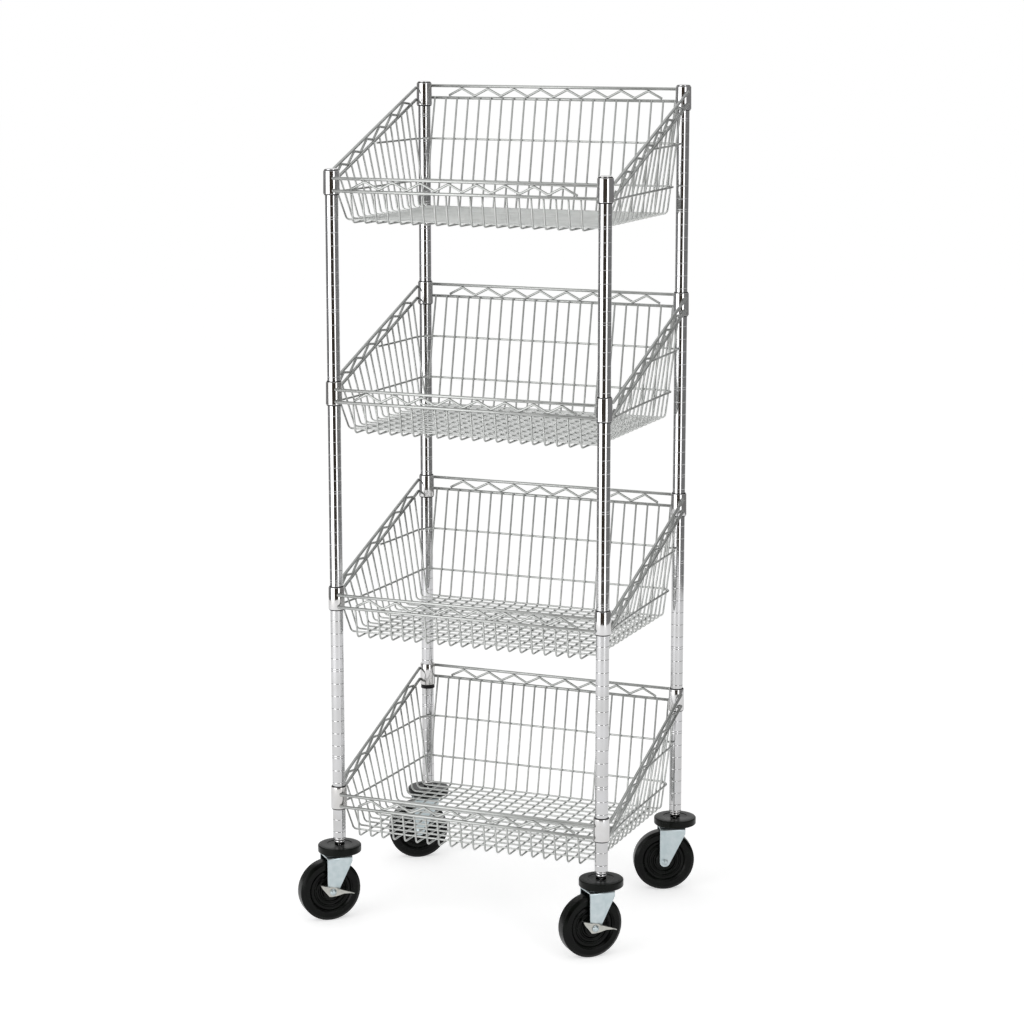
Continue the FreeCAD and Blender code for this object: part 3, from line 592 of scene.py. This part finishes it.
def ring_path(height, bend):
    """Right half of a ring: along the side from its front end, round the corner, to the back.

    It starts just past the foremost cross wire, or further back where it would meet the rail
    above it. Then it touches the wall at each cross wire but the last two, where it bends.
    """
    under_rail = (height + (RAIL + RING) * math.hypot(1, SLOPE) - LOW_RAIL) / SLOPE - HALF_Y
    front = max(under_rail, CROSS_Y[-1] - RING_FRONT)
    touches = CROSS_Y[::-1][CROSS_Y[::-1] > front + RING_CLEAR]
    places = np.concatenate([[front], touches[:-2]])
    lean = SIDE_LEAN / (side_rail(places) - CROSS_FLOOR)
    x = side_wall(places, height) + ring_offset(lean)
    side = np.column_stack([x, places, np.full(len(places), height)])
    corner_x, corner_y = ring_corner(height)
    turn = [side[-1], (corner_x, corner_y, height), (0.0, corner_y, height)]
    return np.concatenate([side[:-1], bent_path([turn], bend, TURN_STEPS)[0, :-1]])


def ring_wire(height, bend):
    """Both halves in one: the right half, then its mirror image run backwards."""
    right = ring_path(height, bend)
    path = np.concatenate([right, right[::-1] * (-1, 1, 1)])
    return tubes([path], RING, UP)


def inside_ring(height, bend):
    """Where an upright wire at CORNER_X touches the inside of a ring's bend.

    Its middle is on a circle about the bend's centre, smaller than the bend by both wires'
    radii, so y = centre + sqrt(inner ** 2 - across ** 2).
    """
    corner_x, corner_y = ring_corner(height)
    inner = bend - (RING + MESH - WELD)
    across = CORNER_X - (corner_x - bend)
    return CORNER_X, corner_y - bend + math.sqrt(inner**2 - across**2), height


RING_BENDS = (upper_ring_bend(), LOWER_RING_BEND)


def corner_wires():
    """One in each rear corner, from the rear rail down inside both rings."""
    upper, lower = (np.array(inside_ring(h, b)) for h, b in zip(RING_HEIGHTS, RING_BENDS))
    end = lower + unit(lower - upper) * CORNER_END
    right = np.array([(CORNER_X, LONG_TOP_Y, REAR_RAIL + OVERRUN), upper, end])
    return tubes(bent_path([right, right * (-1, 1, 1)], WIRE_BEND), MESH, ACROSS)


rings = [ring_wire(h, b) for h, b in zip(RING_HEIGHTS, RING_BENDS)]
print("ring bends:", [round(bend, 4) for bend in RING_BENDS])

# %% Four baskets
shapes = {
    "rim_rails": [rails],
    "rim_zigzags": zigzags,
    "long_wires": [long],
    "cross_wires": [cross],
    "ring_wires": rings,
    "corner_wires": [corner_wires()],
}
for n in BASKETS:
    lift = UP * bases[n]
    for kind, grids in shapes.items():
        piece = grids_object(f"round_{kind}_{n}", [grid + lift for grid in grids])
        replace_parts(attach(piece, RACK), f"basket_{n}_{kind}")
        made.append((piece, "rail_steel" if kind.startswith("rim") else "wire_steel"))
faces = {kind: len(piece.data.polygons) for kind, (piece, _) in zip(shapes, made[-len(shapes) :])}
print("faces in one basket:", faces)

# %% [markdown]
# ## Casters
# Each caster has a moulded rubber wheel in a pressed fork, with a thick flat rubber ring above
# it that keeps the rack off the wall. The wheel's face steps down from the hub to a web with two
# raised rings, then up to a rounded tread. Wheel, ring, neck and bolt are all turned, so they
# are profiles carried round an axle. Only the bolt's nut stops at six sides.

# %% Wheels
RUBBER_SIDES = 96
WHEEL_EDGE = 1.6 * MM
LEAST_TURN = 0.02
MOST_CUT = 0.45
WHEEL_FACE = [
    (6.55, 17.5),
    (15.5, 17.5),
    (18.0, 15.5),
    (18.8, 9.6),
    (22.0, 9.6),
    (23.6, 12.0),
    (25.2, 12.0),
    (26.8, 9.4),
    (30.4, 9.4),
    (32.0, 11.6),
    (33.6, 11.6),
    (35.2, 9.4),
    (40.6, 8.6),
    (42.0, 11.4),
    (45.6, 14.8),
    (56.0, 15.0),
    (62.5, 10.5),
]


def wheel_profile():
    """Radius and sideways place from the bore, over one face and the tread, and back.

    The second half is the first one mirrored: the same radii, with sideways turned round.
    """
    face = np.array(WHEEL_FACE) * MM
    return np.concatenate([face, face[::-1] * (1, -1)])


def eased(profile, radius, steps=4):
    """A closed profile with every corner rounded, as a mould leaves it.

    Each run is cut back by radius * tan(turn / 2) and the gap is bridged by the curve
    (1 - s)^2 * first + 2 * s * (1 - s) * corner + s^2 * last. Where a run is short the cut
    shrinks, so that two curves never meet.
    """
    count = len(profile)
    before = profile - np.roll(profile, 1, axis=0)
    after = np.roll(profile, -1, axis=0) - profile
    lengths = np.linalg.norm(before, axis=1), np.linalg.norm(after, axis=1)
    points = []
    for i in range(count):
        run, onward = before[i] / lengths[0][i], after[i] / lengths[1][i]
        turn = math.acos(max(-1.0, min(1.0, float(run @ onward))))
        if turn < LEAST_TURN:
            points.append(profile[i][None])
            continue
        most = MOST_CUT * lengths[0][i], MOST_CUT * lengths[1][i]
        reach = min(radius * math.tan(turn / 2), *most)
        s = np.linspace(0, 1, steps + 1)[:, None]
        first, last = profile[i] - run * reach, profile[i] + onward * reach
        points.append((1 - s) ** 2 * first + 2 * s * (1 - s) * profile[i] + s**2 * last)
    return np.concatenate(points)


for corner in CORNERS:
    spin = joints[corner + "_wheel_spin"]
    axis = np.array(spin["axis"])
    level = np.cross(UP, axis)
    skin = swept(eased(wheel_profile(), WHEEL_EDGE), RUBBER_SIDES, spin["pos_m"], level, axis)
    wheel = grids_object("rubber_wheel_" + corner, [skin], closed=True)
    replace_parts(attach(wheel, corner + "_rolling"), corner + "_wheel")
    made.append((wheel, "wheel_rubber"))
print("wheels:", len(CORNERS), "with", len(wheel.data.polygons), "faces each")

# %% Bumpers
BUMPER_EDGE = 1.2 * MM
BUMPER_SECTION = [
    (10.0, 0.0),
    (41.8, 0.0),
    (43.2, 1.4),
    (43.2, 13.0),
    (41.7, 14.6),
    (36.0, 15.3),
    (25.5, 15.3),
    (24.5, 14.3),
    (10.0, 14.0),
]


def bumper_profile(low):
    """A thick flat ring: upright side, crisp shoulder, and a shallow step round the neck.

    The section is in millimetres over the ring's underside, which is at the height low.
    """
    return np.array(BUMPER_SECTION) * MM + (0.0, low)


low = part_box("caster_bumpers")[0]
centres = [(posts[c][0], posts[c][1], 0.0) for c in CORNERS]
skin = swept(eased(bumper_profile(low.z), BUMPER_EDGE, 5), RUBBER_SIDES, centres)
bumpers = grids_object("rubber_bumpers", [skin], closed=True)
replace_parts(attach(bumpers, RACK), "caster_bumpers")
made.append((bumpers, "bumper_rubber"))
print("bumpers stand", round(low.z / MM, 1), "mm over the floor")

# %% Necks under the posts
BEAD_RADIUS = 10.1 * MM
BEAD_WAIST = 9.6 * MM
BEAD_HIGH = 5.0 * MM
NECK_FLANGE = 1.6 * MM
NECK_EDGE = 0.5 * MM
PLUG_RADIUS = 10.7 * MM
BEAD_POINTS = 9


def neck_profile(low, foot, top):
    """A plain sleeve, two round beads, a flange as wide as the post, and the plug inside it.

    A bead is half an ellipse: its radius is waist + (widest - waist) * sin a.
    """
    angle = np.linspace(0, math.pi, BEAD_POINTS)
    bulge = BEAD_WAIST + (BEAD_RADIUS - BEAD_WAIST) * np.sin(angle)
    rise = (1 - np.cos(angle)) / 2 * BEAD_HIGH
    flange_low = foot - NECK_FLANGE
    start = flange_low - 2 * BEAD_HIGH
    beads = [np.column_stack([bulge, start + step * BEAD_HIGH + rise]) for step in (0, 1)]
    flange = [
        (POST_RADIUS - NECK_EDGE, flange_low),
        (POST_RADIUS, flange_low + NECK_EDGE),
        (POST_RADIUS, foot),
    ]
    plug = [(PLUG_RADIUS, foot), (PLUG_RADIUS, top)]
    return np.concatenate([[(BEAD_WAIST, low)], *beads, flange, plug])


low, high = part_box("post_inserts")
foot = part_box("front_left_post")[0].z
skin = turned(neck_profile(low.z, foot, high.z), STEEL_SIDES, centres)
necks = grids_object("beaded_necks", [skin])
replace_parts(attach(necks, RACK), "post_inserts")
made.append((necks, "chrome"))
print("necks from", round(low.z / MM, 1), "to the posts at", round(foot / MM, 1), "mm")

# %% Wheel bolts
BOLT_HEAD_HIGH = 3.5 * MM
BOLT_RADIUS = 4.0 * MM
HEAD_RADIUS, HEAD_RISE = 5.2, 2.4
HEAD_FLANGE = [(6.3, -3.5), (6.8, -3.2), (6.8, -2.8), (6.4, -2.5), (HEAD_RADIUS, -HEAD_RISE)]
HEAD_FROM, HEAD_TO, HEAD_POINTS = 0.1, math.pi / 2 - 0.05, 7
NUT_SECTION = [(7.3, -3.5), (8.0, -3.2), (8.0, -0.4), (7.3, 0.0)]
BOLT_SIDES, HEAD_SIDES, NUT_SIDES = 24, 32, 6


def reach(piece, axis, middle):
    """How far a solid reaches along an axis, either way from its middle."""
    points = np.empty(len(piece.data.vertices) * 3)
    piece.data.vertices.foreach_get("co", points)
    turn = np.array(piece.matrix_world.to_3x3())
    world = points.reshape(-1, 3) @ turn.T + np.array(piece.matrix_world.translation)
    places = (world - middle) @ axis
    return places.min(), places.max()


def head_profile(end, side):
    """A thin flange, then a quarter of an ellipse: radius * cos a, rise * (sin a - 1).

    The section is in millimetres from 'end' inwards; side says which way outward is.
    """
    angle = np.linspace(HEAD_FROM, HEAD_TO, HEAD_POINTS)
    dome = np.column_stack([HEAD_RADIUS * np.cos(angle), HEAD_RISE * np.sin(angle) - HEAD_RISE])
    return np.concatenate([HEAD_FLANGE, dome]) * MM * (1, side) + (0, end)


def nut_profile(end, side):
    """The nut's side and its two cut edges; six sides round the axle make it a hexagon."""
    return np.array(NUT_SECTION) * MM * (1, side) + (0, end)


for corner in CORNERS:
    spin = joints[corner + "_wheel_spin"]
    axis, middle = np.array(spin["axis"]), np.array(spin["pos_m"])
    level = np.cross(UP, axis)
    low, high = reach(frame["nodes"][corner + "_axle"], axis, middle)
    shank = [(BOLT_RADIUS, low + BOLT_HEAD_HIGH), (BOLT_RADIUS, high - BOLT_HEAD_HIGH)]
    parts = [
        (shank, BOLT_SIDES),
        (head_profile(high, 1), HEAD_SIDES),
        (nut_profile(low, -1), NUT_SIDES),
    ]
    grids = [turned(profile, sides, middle, level, axis) for profile, sides in parts]
    bolt = grids_object("wheel_bolt_" + corner, grids)
    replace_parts(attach(bolt, corner + "_swivel"), corner + "_axle")
    made.append((bolt, "zinc_steel"))
    print(corner, "bolt from", round(low / MM, 1), "to", round(high / MM, 1), "mm")

# %% [markdown]
# ## Brake levers
# Each front caster has a lever stamped from sheet. It's a bow tie round the bolt: a short toe
# points up to the back, a long thin toe reaches forward, and both top edges are folded outwards
# to give the foot something to press. Sheet is an outline pushed through its own thickness, and
# a fold is a narrow strip along an edge, pushed further. The outline is in millimetres from the
# bolt: how far behind, and how far up.

# %% Levers
LEVER_SHEET = 1.6 * MM
LEVER_FOLD = 9.0 * MM
LEVER_OUTLINE = [
    (27.0, 18.6),
    (18.6, 14.6),
    (4.0, 11.0),
    (-9.3, 7.6),
    (-42.0, -4.6),
    (-42.0, -7.0),
    (-23.0, -5.6),
    (-9.0, -8.6),
    (3.0, -9.6),
    (7.6, -9.0),
    (21.6, 8.6),
]
FOLDS = [((27.0, 18.6), (7.0, 11.8)), ((-10.5, 7.2), (-42.0, -4.6))]


def sheet_grid(outline, low, high, middle, behind, outward):
    """A flat piece of sheet: its outline (behind, up) pushed along 'outward' from low to high."""
    flat = np.asarray(outline, float)
    face = middle + flat[:, :1] * behind + flat[:, 1:] * UP
    return np.stack([face + low * outward, face + high * outward])[None]


def fold_outline(first, last):
    """The edge of a folded strip: the edge itself and a line one sheet's thickness below it."""
    first, last = np.array(first), np.array(last)
    run = unit(last - first)
    below = np.array([run[1], -run[0]]) * (LEVER_SHEET / MM)
    below = below if below[1] < 0 else -below
    return [first, last, last + below, first + below]


for corner in CORNERS:
    if corner + "_brake_lever" not in frame["nodes"]:
        continue
    spin = joints[corner + "_wheel_spin"]
    outward, middle = np.array(spin["axis"]), np.array(spin["pos_m"])
    behind = unit((middle - posts[corner]) * (1, 1, 0))
    low, high = reach(frame["nodes"][corner + "_brake_lever"], outward, middle)
    place = (middle, behind, outward)
    grids = [sheet_grid(np.array(LEVER_OUTLINE) * MM, low, low + LEVER_SHEET, *place)]
    for first, last in FOLDS:
        strip = np.array(fold_outline(first, last)) * MM
        grids.append(sheet_grid(strip, low, low + LEVER_FOLD, *place))
    lever = grids_object("foot_lever_" + corner, grids, smooth=False)
    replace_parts(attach(lever, corner + "_brake"), corner + "_brake_lever")
    made.append((lever, "lever_steel"))
    print(corner, "lever from", round(low / MM, 1), "to", round(high / MM, 1), "mm outward")

# %% [markdown]
# ## Sheet steel that keeps its solid shape
# Forks, stems, races and the wheels' plain bushes are already right as solids. Pressed and
# machined pieces never have a perfectly sharp edge, though, so two modifiers ease them: one
# joins the points that the import left doubled, and a narrow bevel rounds every sharp edge.

# %% Eased edges on the solid pieces
EASE = 0.35 * MM
JOIN = 0.01 * MM
SHARP = math.radians(35)
KEPT = {"caster_stems": "bright_steel", "swivel_races": "bright_steel"}
for corner in CORNERS:
    KEPT[corner + "_fork"] = "zinc_steel"
    KEPT[corner + "_bush"] = "bush_plastic"
for node, surface in KEPT.items():
    piece = frame["nodes"][node]
    weld = piece.modifiers.new("joined", "WELD")
    weld.merge_threshold = JOIN
    bevel = piece.modifiers.new("eased", "BEVEL")
    bevel.width = EASE
    bevel.segments = 2
    bevel.limit_method = "ANGLE"
    bevel.angle_limit = SHARP
    bevel.use_clamp_overlap = True
    bevel.harden_normals = True
    made.append((piece, surface))
print("solid pieces kept:", len(KEPT))

# %% [markdown]
# ## Finishes
# Everything here is plated steel, rubber or plastic. Plating isn't one flat colour: it clouds
# slightly, and its gloss wanders. So each finish mixes two near colours and two roughnesses by
# a soft noise. Rubber and zinc also get a very small bump. Wires are dull, posts and collars
# brighter.

# %% One recipe for every finish
CLOUD_STOPS = (0.35, 0.65)
CLOUD_DETAIL = 3.0
GLOSS_FROM, GLOSS_TO = 0.3, 0.7
RELIEF = 0.1 * MM


def finish(name, colours, roughness, metallic, size, bump=0.0, grain=0.0, sheen=0.5):
    """A clouded surface: one noise mixes two colours and two roughnesses.

    The noise has the given size in metres. bump is how strongly a finer noise, of the size
    grain, lifts the surface, and sheen is how much light a surface that isn't metal mirrors.
    """
    material = bpy.data.materials.new(name)
    material.use_nodes = True
    nodes, links = material.node_tree.nodes, material.node_tree.links
    shader = nodes["Principled BSDF"]
    shader.inputs["Metallic"].default_value = metallic
    shader.inputs["Specular IOR Level"].default_value = sheen
    place = nodes.new("ShaderNodeTexCoord")
    cloud = nodes.new("ShaderNodeTexNoise")
    cloud.inputs["Scale"].default_value = 1 / size
    cloud.inputs["Detail"].default_value = CLOUD_DETAIL
    links.new(place.outputs["Object"], cloud.inputs["Vector"])
    ramp = nodes.new("ShaderNodeValToRGB")
    for stop, position, colour in zip(ramp.color_ramp.elements, CLOUD_STOPS, colours):
        stop.position = position
        stop.color = (*colour, 1.0)
    links.new(cloud.outputs["Fac"], ramp.inputs["Fac"])
    links.new(ramp.outputs["Color"], shader.inputs["Base Color"])
    gloss = nodes.new("ShaderNodeMapRange")
    gloss.inputs["From Min"].default_value = GLOSS_FROM
    gloss.inputs["From Max"].default_value = GLOSS_TO
    gloss.inputs["To Min"].default_value = roughness[0]
    gloss.inputs["To Max"].default_value = roughness[1]
    links.new(cloud.outputs["Fac"], gloss.inputs["Value"])
    links.new(gloss.outputs["Result"], shader.inputs["Roughness"])
    if bump:
        fine = nodes.new("ShaderNodeTexNoise")
        fine.inputs["Scale"].default_value = 1 / grain
        links.new(place.outputs["Object"], fine.inputs["Vector"])
        relief = nodes.new("ShaderNodeBump")
        relief.inputs["Strength"].default_value = bump
        relief.inputs["Distance"].default_value = RELIEF
        links.new(fine.outputs["Fac"], relief.inputs["Height"])
        links.new(relief.outputs["Normal"], shader.inputs["Normal"])
    return material


# %% The finishes, darker and lighter colour first
METAL, PLASTIC = 1.0, 0.0
FINE_GRAIN, RUBBER_GRAIN = 0.0008, 0.0006
PAIRS = {
    "chrome": ((0.54, 0.53, 0.52), (0.62, 0.62, 0.63)),
    "post_steel": ((0.49, 0.49, 0.49), (0.55, 0.55, 0.56)),
    "rail_steel": ((0.39, 0.40, 0.39), (0.47, 0.48, 0.47)),
    "wire_steel": ((0.41, 0.42, 0.41), (0.49, 0.50, 0.49)),
    "bright_steel": ((0.70, 0.70, 0.70), (0.80, 0.80, 0.81)),
    "zinc_steel": ((0.44, 0.51, 0.53), (0.52, 0.58, 0.60)),
    "lever_steel": ((0.40, 0.40, 0.37), (0.48, 0.48, 0.45)),
    "black_plastic": ((0.010, 0.010, 0.011), (0.018, 0.018, 0.019)),
    "wheel_rubber": ((0.001, 0.001, 0.001), (0.002, 0.003, 0.002)),
    "bumper_rubber": ((0.002, 0.003, 0.002), (0.004, 0.005, 0.004)),
    "bush_plastic": ((0.50, 0.50, 0.48), (0.60, 0.60, 0.58)),
}
# Roughness from and to, metal or plastic, size of the clouds, then bump, grain and sheen.
RECIPES = {
    "chrome": ((0.05, 0.10), METAL, 0.05),
    "post_steel": ((0.06, 0.11), METAL, 0.06),
    "rail_steel": ((0.38, 0.48), METAL, 0.04),
    "wire_steel": ((0.28, 0.38), METAL, 0.03),
    "bright_steel": ((0.10, 0.18), METAL, 0.01),
    "zinc_steel": ((0.28, 0.40), METAL, 0.012, 0.15, FINE_GRAIN),
    "lever_steel": ((0.30, 0.42), METAL, 0.01, 0.15, FINE_GRAIN),
    "black_plastic": ((0.38, 0.50), PLASTIC, 0.01, 0.0, 0.0, 0.1),
    "wheel_rubber": ((0.22, 0.30), PLASTIC, 0.02, 0.10, RUBBER_GRAIN, 0.13),
    "bumper_rubber": ((0.26, 0.34), PLASTIC, 0.02, 0.12, RUBBER_GRAIN, 0.12),
    "bush_plastic": ((0.40, 0.52), PLASTIC, 0.004, 0.0, 0.0, 0.1),
}
finishes = {name: finish(name, PAIRS[name], *recipe) for name, recipe in RECIPES.items()}
for piece, name in made:
    piece.data.materials.clear()
    piece.data.materials.append(finishes[name])
print("finishes:", sorted({name for _, name in made}))

# %% [markdown]
# ## White floor, white surroundings
# Floor and surroundings are white to the eye, and just as white in metal or through glass. The
# light that they spread is weaker, so the floor still takes the object's soft shadow.

# %% White
SPREAD = 0.65
FLOOR_LIFT = 0.48
PAPER_TONE = 0.80
PAPER_ROUGHNESS = 0.9
FLOOR_HALF = 30.0


def seen(nodes, links):
    """1 for camera, glossy and transmission rays, and 0 for light that spreads."""
    rays = nodes.new("ShaderNodeLightPath")
    socket = rays.outputs["Is Camera Ray"]
    for kind in ("Is Glossy Ray", "Is Transmission Ray"):
        either = nodes.new("ShaderNodeMath")
        either.operation = "MAXIMUM"
        links.new(socket, either.inputs[0])
        links.new(rays.outputs[kind], either.inputs[1])
        socket = either.outputs["Value"]
    return socket


def ranged(nodes, links, socket, low, high):
    """low where the socket is 0, and high where it is 1: low + (high - low) * socket."""
    between = nodes.new("ShaderNodeMapRange")
    between.inputs["To Min"].default_value = low
    between.inputs["To Max"].default_value = high
    links.new(socket, between.inputs["Value"])
    return between.outputs["Result"]


material = bpy.data.materials.new("white_paper")
material.use_nodes = True
nodes, links = material.node_tree.nodes, material.node_tree.links
shader = nodes["Principled BSDF"]
shader.inputs["Base Color"].default_value = (PAPER_TONE, PAPER_TONE, PAPER_TONE, 1)
shader.inputs["Roughness"].default_value = PAPER_ROUGHNESS
shader.inputs["Specular IOR Level"].default_value = 0.0
shader.inputs["Emission Color"].default_value = (1, 1, 1, 1)
lift = ranged(nodes, links, seen(nodes, links), 0.0, FLOOR_LIFT)
links.new(lift, shader.inputs["Emission Strength"])
corners = np.array([[-1, -1, 0], [1, -1, 0], [1, 1, 0], [-1, 1, 0]]) * FLOOR_HALF
paper = mesh_object("paper_floor", corners, [np.array([[0, 1, 2, 3]])], [False])
paper.data.materials.append(material)

world = bpy.data.worlds.new("studio")
world.use_nodes = True
nodes, links = world.node_tree.nodes, world.node_tree.links
nodes["Background"].inputs["Color"].default_value = (1, 1, 1, 1)
strength = ranged(nodes, links, seen(nodes, links), SPREAD, 1.0)
links.new(strength, nodes["Background"].inputs["Strength"])
bpy.context.scene.world = world
print("floor", 2 * FLOOR_HALF, "m wide, and surroundings spreading", SPREAD, "of their white")

# %% [markdown]
# ## Soft boxes and dark cards
# Bright metal has no colour of its own: it shows the room. In an all-white room a polished post
# turns white and vanishes, so a studio stands things round it. Two tall soft boxes draw the
# bright bands on each post. A dark card in front draws the dark line between them, and a grey
# one at each side draws the edges. All stand still in the room, at one distance.

# %% Soft boxes and cards
STUDIO_RADIUS = 3.2
STUDIO_HIGH = 2.6
CARD_HIGH = 3.4
CARD_POINTS = 17
LAMP_POWER = 18.7
NO_COLOUR = (0, 0, 0, 1)


def soft_box(name, bearing, degrees, watts_per_metre):
    """A tall rectangular lamp that faces the rack from a bearing in degrees.

    Its width is the chord of its angle, 2 * radius * sin(angle / 2).
    """
    light = bpy.data.lights.new(name, "AREA")
    light.shape = "RECTANGLE"
    light.size = 2 * STUDIO_RADIUS * math.sin(math.radians(degrees) / 2)
    light.size_y = STUDIO_HIGH
    light.energy = watts_per_metre * light.size
    lamp = bpy.data.objects.new(name, light)
    bpy.context.scene.collection.objects.link(lamp)
    angle = math.radians(bearing)
    place = Vector((math.cos(angle), math.sin(angle), 0)) * STUDIO_RADIUS
    lamp.location = place + Vector((0, 0, STUDIO_HIGH / 2))
    lamp.rotation_euler = (-place).to_track_quat("-Z", "Y").to_euler()
    lamp.visible_camera = False


def dark_card(name, bearing, degrees, tone):
    """An upright curved card that only reflections see: radius * (cos a, sin a), pushed up."""
    angle = np.radians(bearing + np.linspace(-0.5, 0.5, CARD_POINTS) * degrees)
    level = np.zeros(CARD_POINTS)
    foot = STUDIO_RADIUS * np.column_stack([np.cos(angle), np.sin(angle), level])
    points = np.concatenate([foot, foot + (0, 0, CARD_HIGH)])
    low = np.arange(CARD_POINTS - 1)
    high = low + CARD_POINTS
    card = mesh_object(name, points, [np.column_stack([low, low + 1, high + 1, high])], [True])
    material = bpy.data.materials.new(name)
    material.use_nodes = True
    shader = material.node_tree.nodes["Principled BSDF"]
    shader.inputs["Base Color"].default_value = NO_COLOUR
    shader.inputs["Specular IOR Level"].default_value = 0.0
    shader.inputs["Emission Color"].default_value = (*tone, 1)
    shader.inputs["Emission Strength"].default_value = 1.0
    card.data.materials.append(material)
    card.visible_camera = False
    card.visible_diffuse = False
    card.visible_shadow = False
    card.visible_transmission = False


# Each has its name, bearing and width in degrees, and then its power or tone.
soft_box("left_box", -120.75, 49.5, LAMP_POWER)
soft_box("right_box", -34.5, 18, LAMP_POWER)
dark_card("front_card", -69.75, 52.5, (0.06, 0.05, 0.04))
dark_card("right_card", 25.75, 102.5, (0.27, 0.27, 0.27))
dark_card("left_card", 181.25, 66.5, (0.29, 0.29, 0.29))
print("lamps:", [light.name for light in bpy.data.lights])

# %% [markdown]
# ## Camera
# The view is from the front right and a little above, through a long lens, so that upright
# posts stay nearly upright. Lens and sensor are in millimetres, the place is in metres and the
# angles are in degrees.

# %% Camera
FOCAL_LENGTH, SENSOR_WIDTH = 95.37, 36.0
CAMERA_PLACE = (2.036, -4.893, 1.824)
CAMERA_TILT, CAMERA_BEARING = 79.181, 22.549

lens = bpy.data.cameras.new("long_lens")
lens.lens = FOCAL_LENGTH
lens.sensor_width = SENSOR_WIDTH
camera = bpy.data.objects.new("camera", lens)
bpy.context.scene.collection.objects.link(camera)
camera.location = CAMERA_PLACE
camera.rotation_euler = (math.radians(CAMERA_TILT), 0.0, math.radians(CAMERA_BEARING))
bpy.context.scene.camera = camera
bpy.context.scene.view_settings.view_transform = "Standard"
print("camera at", CAMERA_PLACE, "with a", FOCAL_LENGTH, "mm lens")
